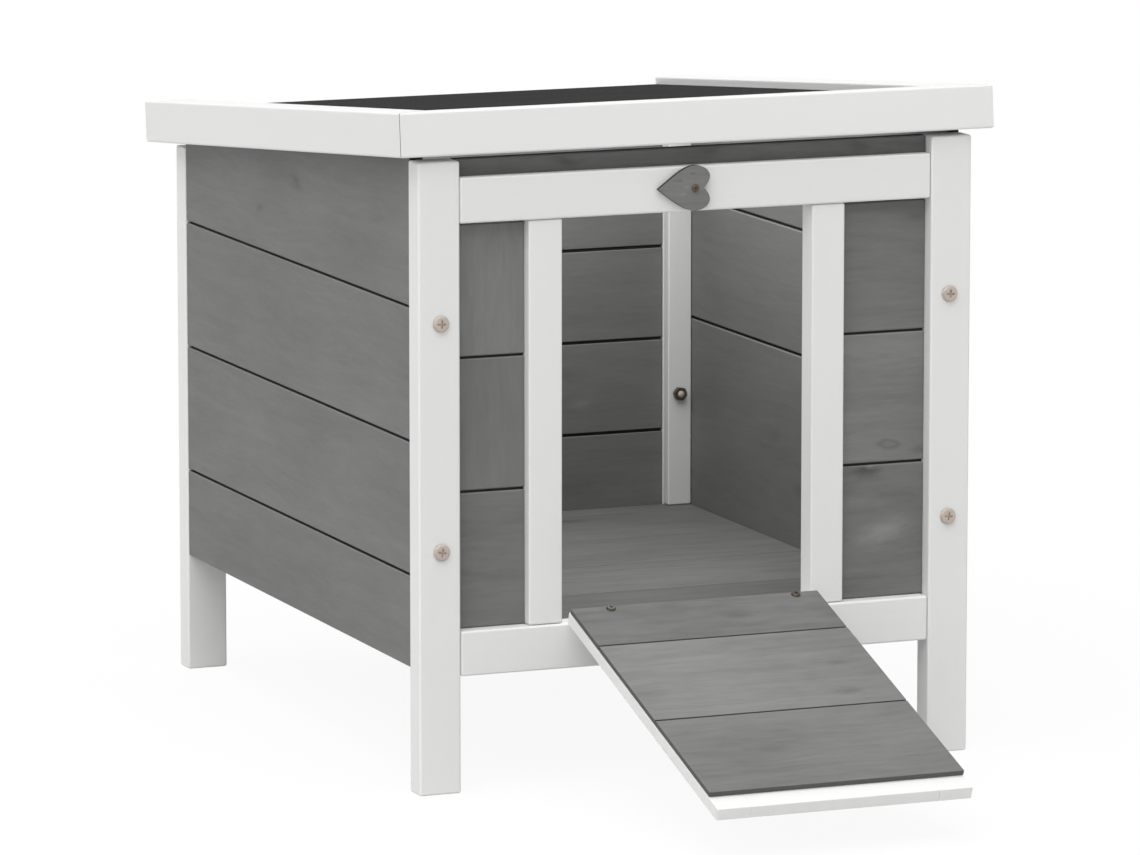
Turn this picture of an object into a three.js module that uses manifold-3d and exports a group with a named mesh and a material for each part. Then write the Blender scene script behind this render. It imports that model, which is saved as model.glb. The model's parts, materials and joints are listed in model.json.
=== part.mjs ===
// A small wooden rabbit hutch: a planked box on four posts, a pitched felt roof that lifts on hinges
// at the back, a doorway with a hinged ramp, and a heart-shaped turn button that holds the ramp shut.
// Millimetres, +Z up, the doorway faces -Y. The pieces are placed from the front left post's outer
// corner at floor level, and the finished group is moved so that its origin lies under its middle.
import * as THREE from "three";
import { mergeVertices } from "three/addons/utils/BufferGeometryUtils.js";
import Module from "manifold-3d";

const wasm = await Module();
wasm.setup();

// Clearances
const seat = 0.3; // between two pieces that touch
const overrun = 2; // how far a cutter passes the face it cuts
const weldDistance = 1e-4; // vertices closer than this count as one

// The box on its posts
const bodyWidth = 393;
const bodyDepth = 477;
const postWidth = 29;
const postThickness = 18;
const postHeadroom = 2.2; // from a post's top to the roof above it
const postRound = 1.5;
const railHeight = 30;
const railSetback = 0.5; // a rail's face lies this far behind the post's face
const railThickness = 9;
const railRound = 1.5;
const sillBottom = 77.5;
const sillThickness = 18;

// The doorway, and the planked panels between its stiles and the posts
const doorwayHeight = 268;
const leftPanelWidth = 48.7;
const rightPanelWidth = 61.8;
const stileWidth = 23.5;
const stileSetback = 2.1;
const stileThickness = 17;
const stileRound = 1.2;

// The planks
const plankThickness = 9;
const plankPitch = 88.3;
const plankGap = 1.7; // the open seam between two planks
const plankChamfer = 0.8;
const tongueThickness = 3;
const tongueLength = 3.5;
const leastPlank = 10; // a narrower strip isn't laid as a plank of its own
const leastRightPlank = 75; // the same for the right wall, whose lowest plank is a wide one
const sidePlankSetback = 1.2;
const sidePlankBottom = 82.2;
const sideTopPlank = 100.7; // the top plank's height at its front end, to the roof

// The back wall, which comes as one panel on its own rails
const backPlankPitch = 67;
const backPlankBottom = 83.7;
const backPlankThickness = 8.5;
const backRailThickness = 8;
const backHeadroom = 1; // from the panel's top to the roof above it
const webThickness = 4; // what is left between two planks at the bottom of their seam

// The floor, which rests on a ledge of the sill and one of the back wall
const floorTop = 95;
const floorThickness = 6;
const floorPitch = 94;
const floorSeam = 0.9;
const floorSeamDepth = 1.2;
const floorRound = 0.3;
const ledgeWidth = 12;

// The corner battens and the bolts that hold them to the posts
const battenWidth = 18;
const battenThickness = 9;
const battenHeadroom = 8;
const battenRound = 1;
const frontBoltInset = 15.5;
const frontBoltHeight = 161;
const backBoltInset = 20.5;
const backBoltHeight = 177;
const upperBoltDrop = 64.5; // from the top rail's underside to the upper front bolts
const boltRadius = 2.5;
const boltBore = 2.8;
const boltHeadRadius = 5.6;
const boltHeadHeight = 2.2;
const boltEnd = 1.6; // the domed end past the nut
const nutRadius = 4.9; // over the corners
const nutHeight = 3.6;

// The ramp
const rampHeadGap = 7; // the doorway is this much higher than the ramp is long
const rampSideGap = 0.7;
const rampFrameThickness = 8.3;
const rampBarWidth = 23;
const rampPlankThickness = 3.5;
const rampPlankInset = 2.3;
const rampPlankEndInset = 15.1;
const rampPlankShares = [0.209, 0.408, 0.383];
const rampPlankGap = 1.2;
const rampPlankChamfer = 0.5;
const rampBarRound = 0.6;
const rampSlope = THREE.MathUtils.degToRad(18.2); // below the level, as it stands at rest
const rampAxisDrop = 1.1; // the hinge pin lies this far below the sill's top

// The roof
const roofPitch = THREE.MathUtils.degToRad(5.5); // it falls to the back
const roofSideOverhang = 13.5;
const roofFrontOverhang = 5.5;
const roofBackOverhang = 25.15;
const roofOverRail = 15.5; // from the top rail to the roof's front edge, where the top plank shows
const roofRailWidth = 30;
const roofRailHeight = 29;
const roofRound = 1.8;
const mitreGap = 0.45;
const deckThickness = 9;
const deckRound = 0.8;
const feltThickness = 1.2;
const feltRecess = 5.5; // the felt lies this far below the rails' tops
const feltBackInset = 3.5;
const feltRound = 0.3;

// The hinges
const knuckleRadius = 2.6;
const pinRadius = 1.3;
const pinClearance = 0.25;
const leafThickness = 1.2;
const rampLeafWidth = 16;
const rampLeafLength = 34;
const rampHingeInset = 32;
const roofLeafWidth = 18;
const roofLeafLength = 40;
const roofHingeInset = 70;

// The heart that turns on its screw
const heartLength = 36.6;
const heartHeight = 30;
const heartThickness = 4;
const heartTipReach = 26; // from the screw to the tip
const heartNotch = 4.1;
const heartRise = 0.8; // above the middle of the top rail
const heartShift = 2.35; // to the right of the doorway's middle
const heartRound = 0.5;
const heartScrewRadius = 1.4;
const heartScrewBore = 1.7;
const heartHeadRadius = 2.4;
const heartHeadHeight = 0.8;
const heartScrewLength = 12;

// The heart's outline, as shares of its tip's reach, its lobes' reach, its half height and its notch
const tipFlankShare = 0.43;
const tipSwellShare = 0.56;
const lobeFrontShare = 0.27;
const lobeRearShare = 0.52;
const lobeCrownShare = 0.78;
const cheekShare = 0.5;
const cheekTurnShare = 0.62;
const notchFlareShare = 0.45;
const notchTurnShare = 0.3;

// Sizes that follow
const sillTop = sillBottom + railHeight;
const topRailBottom = sillTop + doorwayHeight;
const doorwayLeft = postWidth + leftPanelWidth + stileWidth;
const doorwayWidth = bodyWidth - doorwayLeft - stileWidth - rightPanelWidth - postWidth;
const roofFrontHeight = topRailBottom + railHeight + roofOverRail; // the underside of its front edge
const roofWidth = bodyWidth + 2 * roofSideOverhang;
const roofLength = (roofFrontOverhang + bodyDepth + roofBackOverhang) / Math.cos(roofPitch);
const sideTopSeam = roofFrontHeight - sideTopPlank;
const boltSpacing = topRailBottom - upperBoltDrop - frontBoltHeight;
const innerWidth = bodyWidth - 2 * postWidth;
const frontPlankFace = railSetback + railThickness + seat;
const backPostFace = bodyDepth - postThickness;
const backPlankFace = backPostFace + seat;
const backRailFace = backPlankFace + backPlankThickness + backRailThickness;
const rampLength = doorwayHeight - rampHeadGap;
const rampWidth = doorwayWidth - 2 * rampSideGap;
const rampLeft = doorwayLeft + rampSideGap;
const hingeOffset = seat + knuckleRadius; // from a wooden face to the pin of the leaf on it
const rampAxisY = railSetback - hingeOffset;
const rampAxisZ = sillTop - rampAxisDrop;
const rampEndGap = rampAxisDrop + seat; // from the pin to the ramp's hinge end
const boltLength = postThickness + seat + battenThickness + seat + nutHeight;
const heartScrewX = doorwayLeft + doorwayWidth / 2 + heartShift;
const heartScrewZ = topRailBottom + railHeight / 2 + heartRise;

// The height of the roof's underside over a place, counted from the front face of the posts.
function roofUnderside(y) {
  return roofFrontHeight - (y + roofFrontOverhang) * Math.tan(roofPitch);
}

// How many rows of planks fill a height, where the lowest is at least so high.
function rowsIn(height, pitch, least) {
  return Math.ceil((height - least) / pitch);
}

// Finishes
function finish(color, roughness, metalness) {
  return new THREE.MeshStandardMaterial({ color, roughness, metalness });
}
const whitePaint = finish(0xe6e6e4, 0.5, 0);
const greyStain = finish(0x767674, 0.75, 0);
const blackFelt = finish(0x333333, 0.95, 0);
const zincSteel = finish(0xb8aea4, 0.4, 0.8);
const brownScrew = finish(0x6b5040, 0.5, 0.4);

// Which way a flat outline faces: its own x and y, and the way that its thickness goes.
const facing = {
  front: [new THREE.Vector3(1, 0, 0), new THREE.Vector3(0, 0, 1)],
  side: [new THREE.Vector3(0, 1, 0), new THREE.Vector3(0, 0, 1)],
  down: [new THREE.Vector3(0, 0, -1), new THREE.Vector3(0, -1, 0)],
  downBack: [new THREE.Vector3(0, 0, -1), new THREE.Vector3(0, 1, 0)],
  up: [new THREE.Vector3(0, 0, 1), new THREE.Vector3(0, -1, 0)],
  under: [new THREE.Vector3(0, 1, 0), new THREE.Vector3(0, 0, -1)],
};

function turned(geometry, [x, y]) {
  const z = new THREE.Vector3().crossVectors(x, y);
  return geometry.applyMatrix4(new THREE.Matrix4().makeBasis(x, y, z));
}

function polygon(points) {
  return new THREE.Shape(points.map(([x, y]) => new THREE.Vector2(x, y)));
}

function rectangle(x0, y0, x1, y1) {
  return polygon([[x0, y0], [x1, y0], [x1, y1], [x0, y1]]);
}

function withHoles(shape, centres, radius) {
  centres.forEach(([x, y]) => {
    const hole = new THREE.Path();
    hole.absarc(x, y, radius, 0, 2 * Math.PI, true);
    shape.holes.push(hole);
  });
  return shape;
}

// A board cut to an outline, its edges rounded, as thick as stated and centred on its thickness.
function board(shape, thickness, round, curveSegments = 4) {
  const geometry = new THREE.ExtrudeGeometry(shape, {
    depth: thickness - 2 * round,
    bevelThickness: round,
    bevelSize: round,
    bevelOffset: -round,
    bevelSegments: 2,
    curveSegments,
  });
  return geometry.translate(0, 0, round - thickness / 2);
}

// A plain extrusion, centred on its length.
function prism(shape, length, curveSegments = 6) {
  const geometry = new THREE.ExtrudeGeometry(shape, { depth: length, bevelEnabled: false, curveSegments });
  return geometry.translate(0, 0, -length / 2);
}

function toSolid(geometry) {
  const bare = new THREE.BufferGeometry();
  bare.setAttribute("position", geometry.getAttribute("position"));
  if (geometry.index) bare.setIndex(geometry.index);
  const merged = mergeVertices(bare, weldDistance);
  const vertProperties = merged.attributes.position.array;
  const triVerts = new Uint32Array(merged.index.array);
  return new wasm.Manifold(new wasm.Mesh({ numProp: 3, vertProperties, triVerts }));
}

function toGeometry(solid) {
  const mesh = solid.getMesh();
  const geometry = new THREE.BufferGeometry();
  geometry.setAttribute("position", new THREE.BufferAttribute(mesh.vertProperties, 3));
  geometry.setIndex(new THREE.BufferAttribute(mesh.triVerts, 1));
  return geometry;
}

function joined(geometries) {
  return toGeometry(geometries.map(toSolid).reduce((whole, next) => whole.add(next)));
}

function cut(geometry, cutters) {
  return toGeometry(cutters.map(toSolid).reduce((whole, next) => whole.subtract(next), toSolid(geometry)));
}

const hutch = new THREE.Group();

function place(group, name, geometry, material, x, y, z) {
  const mesh = new THREE.Mesh(geometry, material);
  mesh.name = name;
  mesh.position.set(x, y, z);
  group.add(mesh);
  return mesh;
}

// An upright board that faces the front: its outline in X and Z, its front face at a given depth.
function frontBoard(name, shape, thickness, round, faceY, material) {
  const upright = turned(board(shape, thickness, round), facing.front);
  place(hutch, name, upright, material, 0, faceY + thickness / 2, 0);
}

// Posts: planed timber of oblong section, bored for two bolts each.
function makePosts() {
  const sides = [["left", 0, 1], ["right", bodyWidth, -1]];
  const ends = [
    ["front", 0, postThickness, frontBoltInset, frontBoltHeight],
    ["back", backPostFace, bodyDepth, backBoltInset, backBoltHeight],
  ];
  for (const [end, faceY, rearY, inset, height] of ends) {
    const top = roofUnderside(rearY) - postHeadroom;
    for (const [side, edge, inward] of sides) {
      const inner = edge + inward * postWidth;
      const shape = rectangle(Math.min(edge, inner), 0, Math.max(edge, inner), top);
      const x = edge + inward * inset;
      withHoles(shape, [[x, height], [x, height + boltSpacing]], boltBore);
      frontBoard(`${end}_${side}_post`, shape, postThickness, postRound, faceY, whitePaint);
    }
  }
}

// Top rail and sill: the sill has a ledge at its back that carries the floor.
function makeFrontRails() {
  const left = postWidth + seat;
  const right = bodyWidth - left;
  const rail = rectangle(left, topRailBottom, right, topRailBottom + railHeight);
  withHoles(rail, [[heartScrewX, heartScrewZ]], heartScrewBore);
  frontBoard("front_top_rail", rail, railThickness, railRound, railSetback, whitePaint);

  const bar = board(rectangle(left, sillBottom, right, sillTop), sillThickness, railRound);
  turned(bar, facing.front).translate(0, railSetback + sillThickness / 2, 0);
  const ledge = prism(
    polygon([
      [railSetback + sillThickness - railRound, sillBottom + railRound],
      [railSetback + sillThickness + ledgeWidth, sillBottom + railRound],
      [railSetback + sillThickness + ledgeWidth, floorTop - floorThickness - seat],
      [railSetback + sillThickness - railRound, floorTop - floorThickness - seat],
    ]),
    innerWidth - 2 * seat - 2 * railRound,
  );
  turned(ledge, facing.side).translate(bodyWidth / 2, 0, 0);
  place(hutch, "sill_rail", joined([bar, ledge]), whitePaint, 0, 0, 0);
}

// Stiles: the two uprights of the doorway, between the sill and the top rail.
function makeStiles() {
  const places = [["left", doorwayLeft - stileWidth], ["right", doorwayLeft + doorwayWidth]];
  for (const [side, x] of places) {
    const shape = rectangle(x, sillTop + seat, x + stileWidth, topRailBottom - seat);
    frontBoard(`doorway_${side}_stile`, shape, stileThickness, stileRound, stileSetback, whitePaint);
  }
}

// The end of a tongued plank, its outer face at x = 0: a tongue on the top edge, a groove below.
function plankEnd(bottom, top, tongued, grooved) {
  const t = plankThickness;
  const c = plankChamfer;
  const tongueNear = (t - tongueThickness) / 2;
  const tongueFar = tongueNear + tongueThickness;
  const points = [[0, bottom + c], [c, bottom]];
  if (grooved) {
    points.push([tongueNear - seat, bottom], [tongueNear - seat, bottom + tongueLength]);
    points.push([tongueFar + seat, bottom + tongueLength], [tongueFar + seat, bottom]);
  }
  points.push([t - c, bottom], [t, bottom + c], [t, top - c], [t - c, top]);
  if (tongued) {
    points.push([tongueFar, top], [tongueFar, top + tongueLength]);
    points.push([tongueNear, top + tongueLength], [tongueNear, top]);
  }
  points.push([c, top], [0, top - c]);
  return polygon(points);
}

// Side walls: tongued planks between the posts, laid down from the top one, which is cut to the
// roof's pitch.
function makeSidePlanks() {
  const front = postThickness + seat;
  const length = backPostFace - seat - front;
  const slope = prism(
    polygon([
      [front - overrun, roofUnderside(front - overrun) - seat],
      [front + length + overrun, roofUnderside(front + length + overrun) - seat],
      [front + length + overrun, roofFrontHeight + overrun],
      [front - overrun, roofFrontHeight + overrun],
    ]),
    plankThickness + 2 * overrun,
  );
  turned(slope, facing.side);
  const walls = [
    ["left", sidePlankSetback, 1, leastPlank],
    ["right", bodyWidth - sidePlankSetback, -1, leastRightPlank],
  ];
  for (const [side, outer, inward, least] of walls) {
    const rows = rowsIn(sideTopSeam - sidePlankBottom, plankPitch, least);
    const firstSeam = sideTopSeam - (rows - 1) * plankPitch;
    for (let i = 0; i <= rows; i += 1) {
      const isFirst = i === 0;
      const isLast = i === rows;
      const seam = firstSeam + i * plankPitch;
      const bottom = isFirst ? sidePlankBottom : seam - plankPitch + plankGap / 2;
      const top = isLast ? roofFrontHeight : seam - plankGap / 2;
      const end = plankEnd(bottom, top, !isLast, !isFirst);
      const x = new THREE.Vector3(inward, 0, 0);
      const plank = turned(prism(end, length), [x, new THREE.Vector3(0, 0, 1)]);
      plank.translate(outer, front + length / 2, 0);
      const middle = outer + (inward * plankThickness) / 2;
      const shaped = isLast ? cut(plank, [slope.clone().translate(middle, 0, 0)]) : plank;
      place(hutch, `${side}_side_plank_${i + 1}`, shaped, greyStain, 0, 0, 0);
    }
  }
}

// Front wall: short planks each side of the doorway, and a full one behind the top rail.
function makeFrontPlanks() {
  const rows = rowsIn(doorwayHeight, plankPitch, leastPlank);
  const stileLeft = doorwayLeft - stileWidth - seat;
  const stileRight = doorwayLeft + doorwayWidth + stileWidth + seat;
  const spans = [
    ["left", postWidth + seat, stileLeft],
    ["right", stileRight, bodyWidth - postWidth - seat],
  ];
  for (let i = 0; i < rows; i += 1) {
    const top = topRailBottom - plankGap - (rows - 1 - i) * plankPitch;
    const bottom = i === 0 ? sillTop + seat : top + plankGap - plankPitch;
    const end = plankEnd(bottom, top, i < rows - 1, i > 0);
    for (const [side, x0, x1] of spans) {
      const plank = turned(prism(end, x1 - x0), facing.side);
      place(hutch, `front_${side}_plank_${i + 1}`, plank, greyStain, (x0 + x1) / 2, frontPlankFace, 0);
    }
  }
  const highest = roofUnderside(postThickness) - postHeadroom;
  const end = plankEnd(topRailBottom, highest, false, false);
  const plank = turned(prism(end, innerWidth - 2 * seat), facing.side);
  place(hutch, "front_top_plank", plank, greyStain, bodyWidth / 2, frontPlankFace, 0);
}

// Back wall: planks over a thin web, a rail at the top and one at the bottom, let in to the
// planks' middle, and the ledge that carries the floor.
function makeBackWall() {
  const left = postWidth + seat;
  const right = bodyWidth - left;
  const top = roofUnderside(backRailFace) - backHeadroom;
  const rows = rowsIn(top - backPlankBottom, backPlankPitch, leastPlank);
  const planks = [];
  for (let i = 0; i < rows; i += 1) {
    const bottom = backPlankBottom + i * backPlankPitch;
    const isLast = i === rows - 1;
    const plankTop = isLast ? top : bottom + backPlankPitch - plankGap;
    const plank = board(rectangle(left, bottom, right, plankTop), backPlankThickness, plankChamfer);
    turned(plank, facing.front).translate(0, backPlankFace + backPlankThickness / 2, 0);
    planks.push(plank);
  }
  const webEdge = (backPlankThickness - webThickness) / 2;
  const web = board(
    rectangle(left + webEdge, backPlankBottom + webEdge, right - webEdge, top - webEdge),
    webThickness,
    plankChamfer,
  );
  turned(web, facing.front).translate(0, backPlankFace + backPlankThickness / 2, 0);
  const railY = backPlankFace + backPlankThickness;
  const railSink = backPlankThickness / 2;
  const rails = [sillBottom, top - railHeight].map((bottom) => {
    const shape = rectangle(left, bottom, right, bottom + railHeight);
    const rail = board(shape, backRailThickness + railSink, plankChamfer);
    return turned(rail, facing.front).translate(0, railY + (backRailThickness - railSink) / 2, 0);
  });
  const ledge = prism(
    polygon([
      [backPlankFace - ledgeWidth, sillBottom + railRound],
      [railY + plankChamfer, sillBottom + railRound],
      [railY + plankChamfer, floorTop - floorThickness - seat],
      [backPlankFace - ledgeWidth, floorTop - floorThickness - seat],
    ]),
    innerWidth - 2 * seat - 2 * railRound,
  );
  turned(ledge, facing.side).translate(bodyWidth / 2, 0, 0);
  place(hutch, "back_wall", joined([...planks, web, ...rails, ledge]), greyStain, 0, 0, 0);
}

// Floor: a sheet with shallow seams, so that it looks planked from above.
function makeFloor() {
  const innerFace = sidePlankSetback + plankThickness + seat;
  const front = railSetback + sillThickness + seat;
  const back = backPostFace - seat;
  const panel = board(
    polygon([
      [bodyWidth - innerFace, front],
      [bodyWidth - innerFace, back],
      [innerFace, back],
      [innerFace, front],
    ]),
    floorThickness,
    floorRound,
  );
  panel.translate(0, 0, floorTop - floorThickness / 2);
  const grooves = [];
  const lowest = floorTop - floorSeamDepth;
  for (let y = back - floorPitch / 4; y > front + floorPitch / 4; y -= floorPitch) {
    const groove = new THREE.BoxGeometry(bodyWidth, floorSeam, 2 * floorSeamDepth);
    grooves.push(groove.translate(bodyWidth / 2, y, lowest + floorSeamDepth));
  }
  place(hutch, "floor_panel", cut(panel, grooves), greyStain, 0, 0, 0);
}

// Battens: uprights inside the four corners, which the planks are nailed to.
function makeBattens() {
  const innerFace = sidePlankSetback + plankThickness + seat;
  const frontY = postThickness + seat;
  const backY = backPostFace - seat - battenThickness;
  const ends = [
    ["front", frontY, frontBoltInset, frontBoltHeight],
    ["back", backY, backBoltInset, backBoltHeight],
  ];
  for (const [end, faceY, inset, height] of ends) {
    const top = roofUnderside(faceY + battenThickness) - battenHeadroom;
    for (const [side, edge, inward] of [["left", 0, 1], ["right", bodyWidth, -1]]) {
      const near = edge + inward * innerFace;
      const far = near + inward * battenWidth;
      const shape = rectangle(Math.min(near, far), floorTop + seat, Math.max(near, far), top);
      const x = edge + inward * inset;
      withHoles(shape, [[x, height], [x, height + boltSpacing]], boltBore);
      frontBoard(`${end}_${side}_batten`, shape, battenThickness, battenRound, faceY, whitePaint);
    }
  }
}

// Bolts: a domed head outside, the nut and the bolt's domed end inside, as one tightened piece.
function boltGeometry() {
  const points = [[0, -boltHeadHeight]];
  const steps = 4;
  for (let i = 1; i <= steps; i += 1) {
    const angle = (i / steps) * (Math.PI / 2);
    points.push([boltHeadRadius * Math.sin(angle), -boltHeadHeight * Math.cos(angle)]);
  }
  points.push([boltRadius, 0], [boltRadius, seat + boltLength]);
  for (let i = 1; i <= steps; i += 1) {
    const angle = (i / steps) * (Math.PI / 2);
    points.push([boltRadius * Math.cos(angle), seat + boltLength + boltEnd * Math.sin(angle)]);
  }
  points[points.length - 1][0] = 0;
  const profile = points.map(([r, along]) => new THREE.Vector2(r, along));
  const shank = new THREE.LatheGeometry(profile, 16);
  const nut = new THREE.CylinderGeometry(nutRadius, nutRadius, nutHeight, 6);
  nut.translate(0, seat + boltLength - nutHeight / 2, 0);
  return joined([shank, nut]);
}

function makeBolts() {
  const bolt = boltGeometry();
  const back = new THREE.Matrix4().makeRotationZ(Math.PI);
  for (const [side, edge, inward] of [["left", 0, 1], ["right", bodyWidth, -1]]) {
    for (const [level, rise] of [["lower", 0], ["upper", boltSpacing]]) {
      const x = edge + inward * frontBoltInset;
      place(hutch, `front_${side}_${level}_bolt`, bolt, zincSteel, x, -seat, frontBoltHeight + rise);
      const xBack = edge + inward * backBoltInset;
      const turnedBolt = bolt.clone().applyMatrix4(back);
      const height = backBoltHeight + rise;
      place(hutch, `back_${side}_${level}_bolt`, turnedBolt, zincSteel, xBack, bodyDepth + seat, height);
    }
  }
}

// One leaf of a hinge, seen along its pin: x runs away from the pin, and y = 0 is its back.
function leafOutline(width, curled) {
  if (!curled) return rectangle(knuckleRadius + seat, 0, width, leafThickness);
  const drop = knuckleRadius - leafThickness;
  const meet = Math.sqrt(knuckleRadius ** 2 - drop ** 2);
  const shape = new THREE.Shape();
  shape.moveTo(width, 0);
  shape.lineTo(width, leafThickness);
  shape.lineTo(meet, leafThickness);
  shape.absarc(0, knuckleRadius, knuckleRadius, Math.atan2(-drop, meet), 1.5 * Math.PI, false);
  return shape;
}

// The leaf that holds the pin has the two end knuckles; the other has the middle one, bored.
function pinnedLeaf(width, length) {
  const third = length / 3;
  const flat = prism(leafOutline(width, false), length);
  const knuckles = [-third, third].map((x) => {
    return prism(leafOutline(width, true), third - seat).translate(0, 0, x);
  });
  const pinShape = new THREE.Shape().absarc(0, knuckleRadius, pinRadius, 0, 2 * Math.PI, false);
  return joined([flat, ...knuckles, prism(pinShape, length - third)]).translate(0, -knuckleRadius, 0);
}

function turningLeaf(width, length) {
  const flat = prism(leafOutline(width, false), length);
  const bored = withHoles(leafOutline(width, true), [[0, knuckleRadius]], pinRadius + pinClearance);
  return joined([flat, prism(bored, length / 3 - seat)]).translate(0, -knuckleRadius, 0);
}

// Ramp: planks on a white frame. It is laid out as it stands when shut, the pin at its foot.
function makeRamp() {
  const ramp = new THREE.Group();
  ramp.position.set(0, rampAxisY, rampAxisZ);
  ramp.rotation.x = Math.PI / 2 + rampSlope;
  hutch.add(ramp);

  const left = rampLeft;
  const right = rampLeft + rampWidth;
  const foot = rampEndGap;
  const head = foot + rampLength;
  const frameY = hingeOffset + rampFrameThickness / 2;
  const bars = [
    ["ramp_left_bar", left, foot, left + rampBarWidth, head],
    ["ramp_right_bar", right - rampBarWidth, foot, right, head],
    ["ramp_hinge_bar", left + rampBarWidth + seat, foot, right - rampBarWidth - seat, foot + rampBarWidth],
    ["ramp_end_bar", left + rampBarWidth + seat, head - rampBarWidth, right - rampBarWidth - seat, head],
  ];
  for (const [name, x0, z0, x1, z1] of bars) {
    const bar = board(rectangle(x0, z0, x1, z1), rampFrameThickness, rampBarRound);
    place(ramp, name, turned(bar, facing.front), whitePaint, 0, frameY, 0);
  }

  const plankY = hingeOffset + rampFrameThickness + seat + rampPlankThickness / 2;
  const gaps = (rampPlankShares.length - 1) * rampPlankGap;
  const planked = rampLength - rampPlankInset - rampPlankEndInset - gaps;
  let near = foot + rampPlankInset;
  rampPlankShares.forEach((share, i) => {
    const length = share * planked;
    const plank = board(rectangle(left, near, right, near + length), rampPlankThickness, rampPlankChamfer);
    place(ramp, `ramp_plank_${i + 1}`, turned(plank, facing.front), greyStain, 0, plankY, 0);
    near += length + rampPlankGap;
  });

  const hinges = [["left", left + rampHingeInset], ["right", right - rampHingeInset]];
  for (const [side, x] of hinges) {
    const fixed = turned(pinnedLeaf(rampLeafWidth, rampLeafLength), facing.down);
    place(hutch, `ramp_${side}_hinge_fixed_leaf`, fixed, zincSteel, x, rampAxisY, rampAxisZ);
    const moving = turned(turningLeaf(rampLeafWidth, rampLeafLength), facing.up);
    place(ramp, `ramp_${side}_hinge_moving_leaf`, moving, zincSteel, x, 0, 0);
  }
}

// Roof: three painted rails mitred at the front corners, a back rail, a deck and its felt.
function makeRoof() {
  const roof = new THREE.Group();
  roof.position.set(-roofSideOverhang, -roofFrontOverhang, roofFrontHeight);
  roof.rotation.x = -roofPitch;
  hutch.add(roof);

  const w = roofWidth;
  const b = roofRailWidth;
  const g = mitreGap;
  const rails = [
    ["roof_front_rail", [[0, 0], [w, 0], [w - b, b], [b, b]]],
    ["roof_left_rail", [[0, g], [b, b + g], [b, roofLength], [0, roofLength]]],
    ["roof_right_rail", [[w, g], [w, roofLength], [w - b, roofLength], [w - b, b + g]]],
  ];
  for (const [name, points] of rails) {
    const rail = board(polygon(points), roofRailHeight, roofRound);
    place(roof, name, rail, whitePaint, 0, 0, roofRailHeight / 2);
  }

  const feltTop = roofRailHeight - feltRecess;
  const deckTop = feltTop - feltThickness - seat;
  const inner = b + seat;
  const backRailFront = roofLength - b;
  const backRail = board(rectangle(inner, backRailFront, w - inner, roofLength), deckTop, roofRound);
  place(roof, "roof_back_rail", backRail, whitePaint, 0, 0, deckTop / 2);
  const deck = board(rectangle(inner, b + seat, w - inner, backRailFront - seat), deckThickness, deckRound);
  place(roof, "roof_deck", deck, greyStain, 0, 0, deckTop - deckThickness / 2);
  const feltShape = rectangle(inner, b + seat, w - inner, roofLength - feltBackInset);
  const felt = board(feltShape, feltThickness, feltRound);
  place(roof, "roof_felt", felt, blackFelt, 0, 0, feltTop - feltThickness / 2);

  const axisY = backRailFace + hingeOffset;
  const reach = axisY + roofFrontOverhang + hingeOffset * Math.sin(roofPitch);
  const along = reach / Math.cos(roofPitch);
  const axisZ = roofFrontHeight - along * Math.sin(roofPitch) - hingeOffset * Math.cos(roofPitch);
  for (const [side, x] of [["left", roofHingeInset], ["right", bodyWidth - roofHingeInset]]) {
    const fixed = turned(pinnedLeaf(roofLeafWidth, roofLeafLength), facing.downBack);
    place(hutch, `roof_${side}_hinge_fixed_leaf`, fixed, zincSteel, x, axisY, axisZ);
    const moving = turned(turningLeaf(roofLeafWidth, roofLeafLength), facing.under);
    const xOnRoof = x + roofSideOverhang;
    place(roof, `roof_${side}_hinge_moving_leaf`, moving, zincSteel, xOnRoof, along, -hingeOffset);
  }
}

// The heart: a turn button on the top rail, its tip pointing left as it stands.
function heartShape() {
  const half = heartHeight / 2;
  const tip = -heartTipReach;
  const far = heartLength - heartTipReach;
  const notch = far - heartNotch;
  const flankX = tip + tipFlankShare * heartTipReach;
  const flankY = tipSwellShare * half;
  const lobeFront = -lobeFrontShare * heartTipReach;
  const lobeRear = lobeRearShare * far;
  const crown = lobeCrownShare * half;
  const cheek = cheekShare * half;
  const cheekTurn = cheekTurnShare * cheek;
  const flare = notch + notchFlareShare * heartNotch;
  const notchTurn = notchTurnShare * cheek;
  const shape = new THREE.Shape();
  shape.moveTo(tip, 0);
  shape.bezierCurveTo(flankX, -flankY, lobeFront, -half, 0, -half);
  shape.bezierCurveTo(lobeRear, -half, far, -crown, far, -cheek);
  shape.bezierCurveTo(far, -cheekTurn, flare, -notchTurn, notch, 0);
  shape.bezierCurveTo(flare, notchTurn, far, cheekTurn, far, cheek);
  shape.bezierCurveTo(far, crown, lobeRear, half, 0, half);
  shape.bezierCurveTo(lobeFront, half, flankX, flankY, tip, 0);
  return shape;
}

function makeHeart() {
  const shape = withHoles(heartShape(), [[0, 0]], heartScrewBore);
  const heart = turned(board(shape, heartThickness, heartRound, 8), facing.front);
  const backY = railSetback - seat;
  const middleY = backY - heartThickness / 2;
  place(hutch, "heart_latch", heart, greyStain, heartScrewX, middleY, heartScrewZ);

  const headY = backY - heartThickness - seat;
  const profile = [
    [0, -heartHeadHeight],
    [heartHeadRadius - heartHeadHeight / 2, -heartHeadHeight],
    [heartHeadRadius, -heartHeadHeight / 2],
    [heartHeadRadius, 0],
    [heartScrewRadius, 0],
    [heartScrewRadius, heartScrewLength - heartScrewRadius],
    [0, heartScrewLength],
  ].map(([r, along]) => new THREE.Vector2(r, along));
  const screw = new THREE.LatheGeometry(profile, 12);
  place(hutch, "heart_screw", screw, brownScrew, heartScrewX, headY, heartScrewZ);
}

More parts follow.
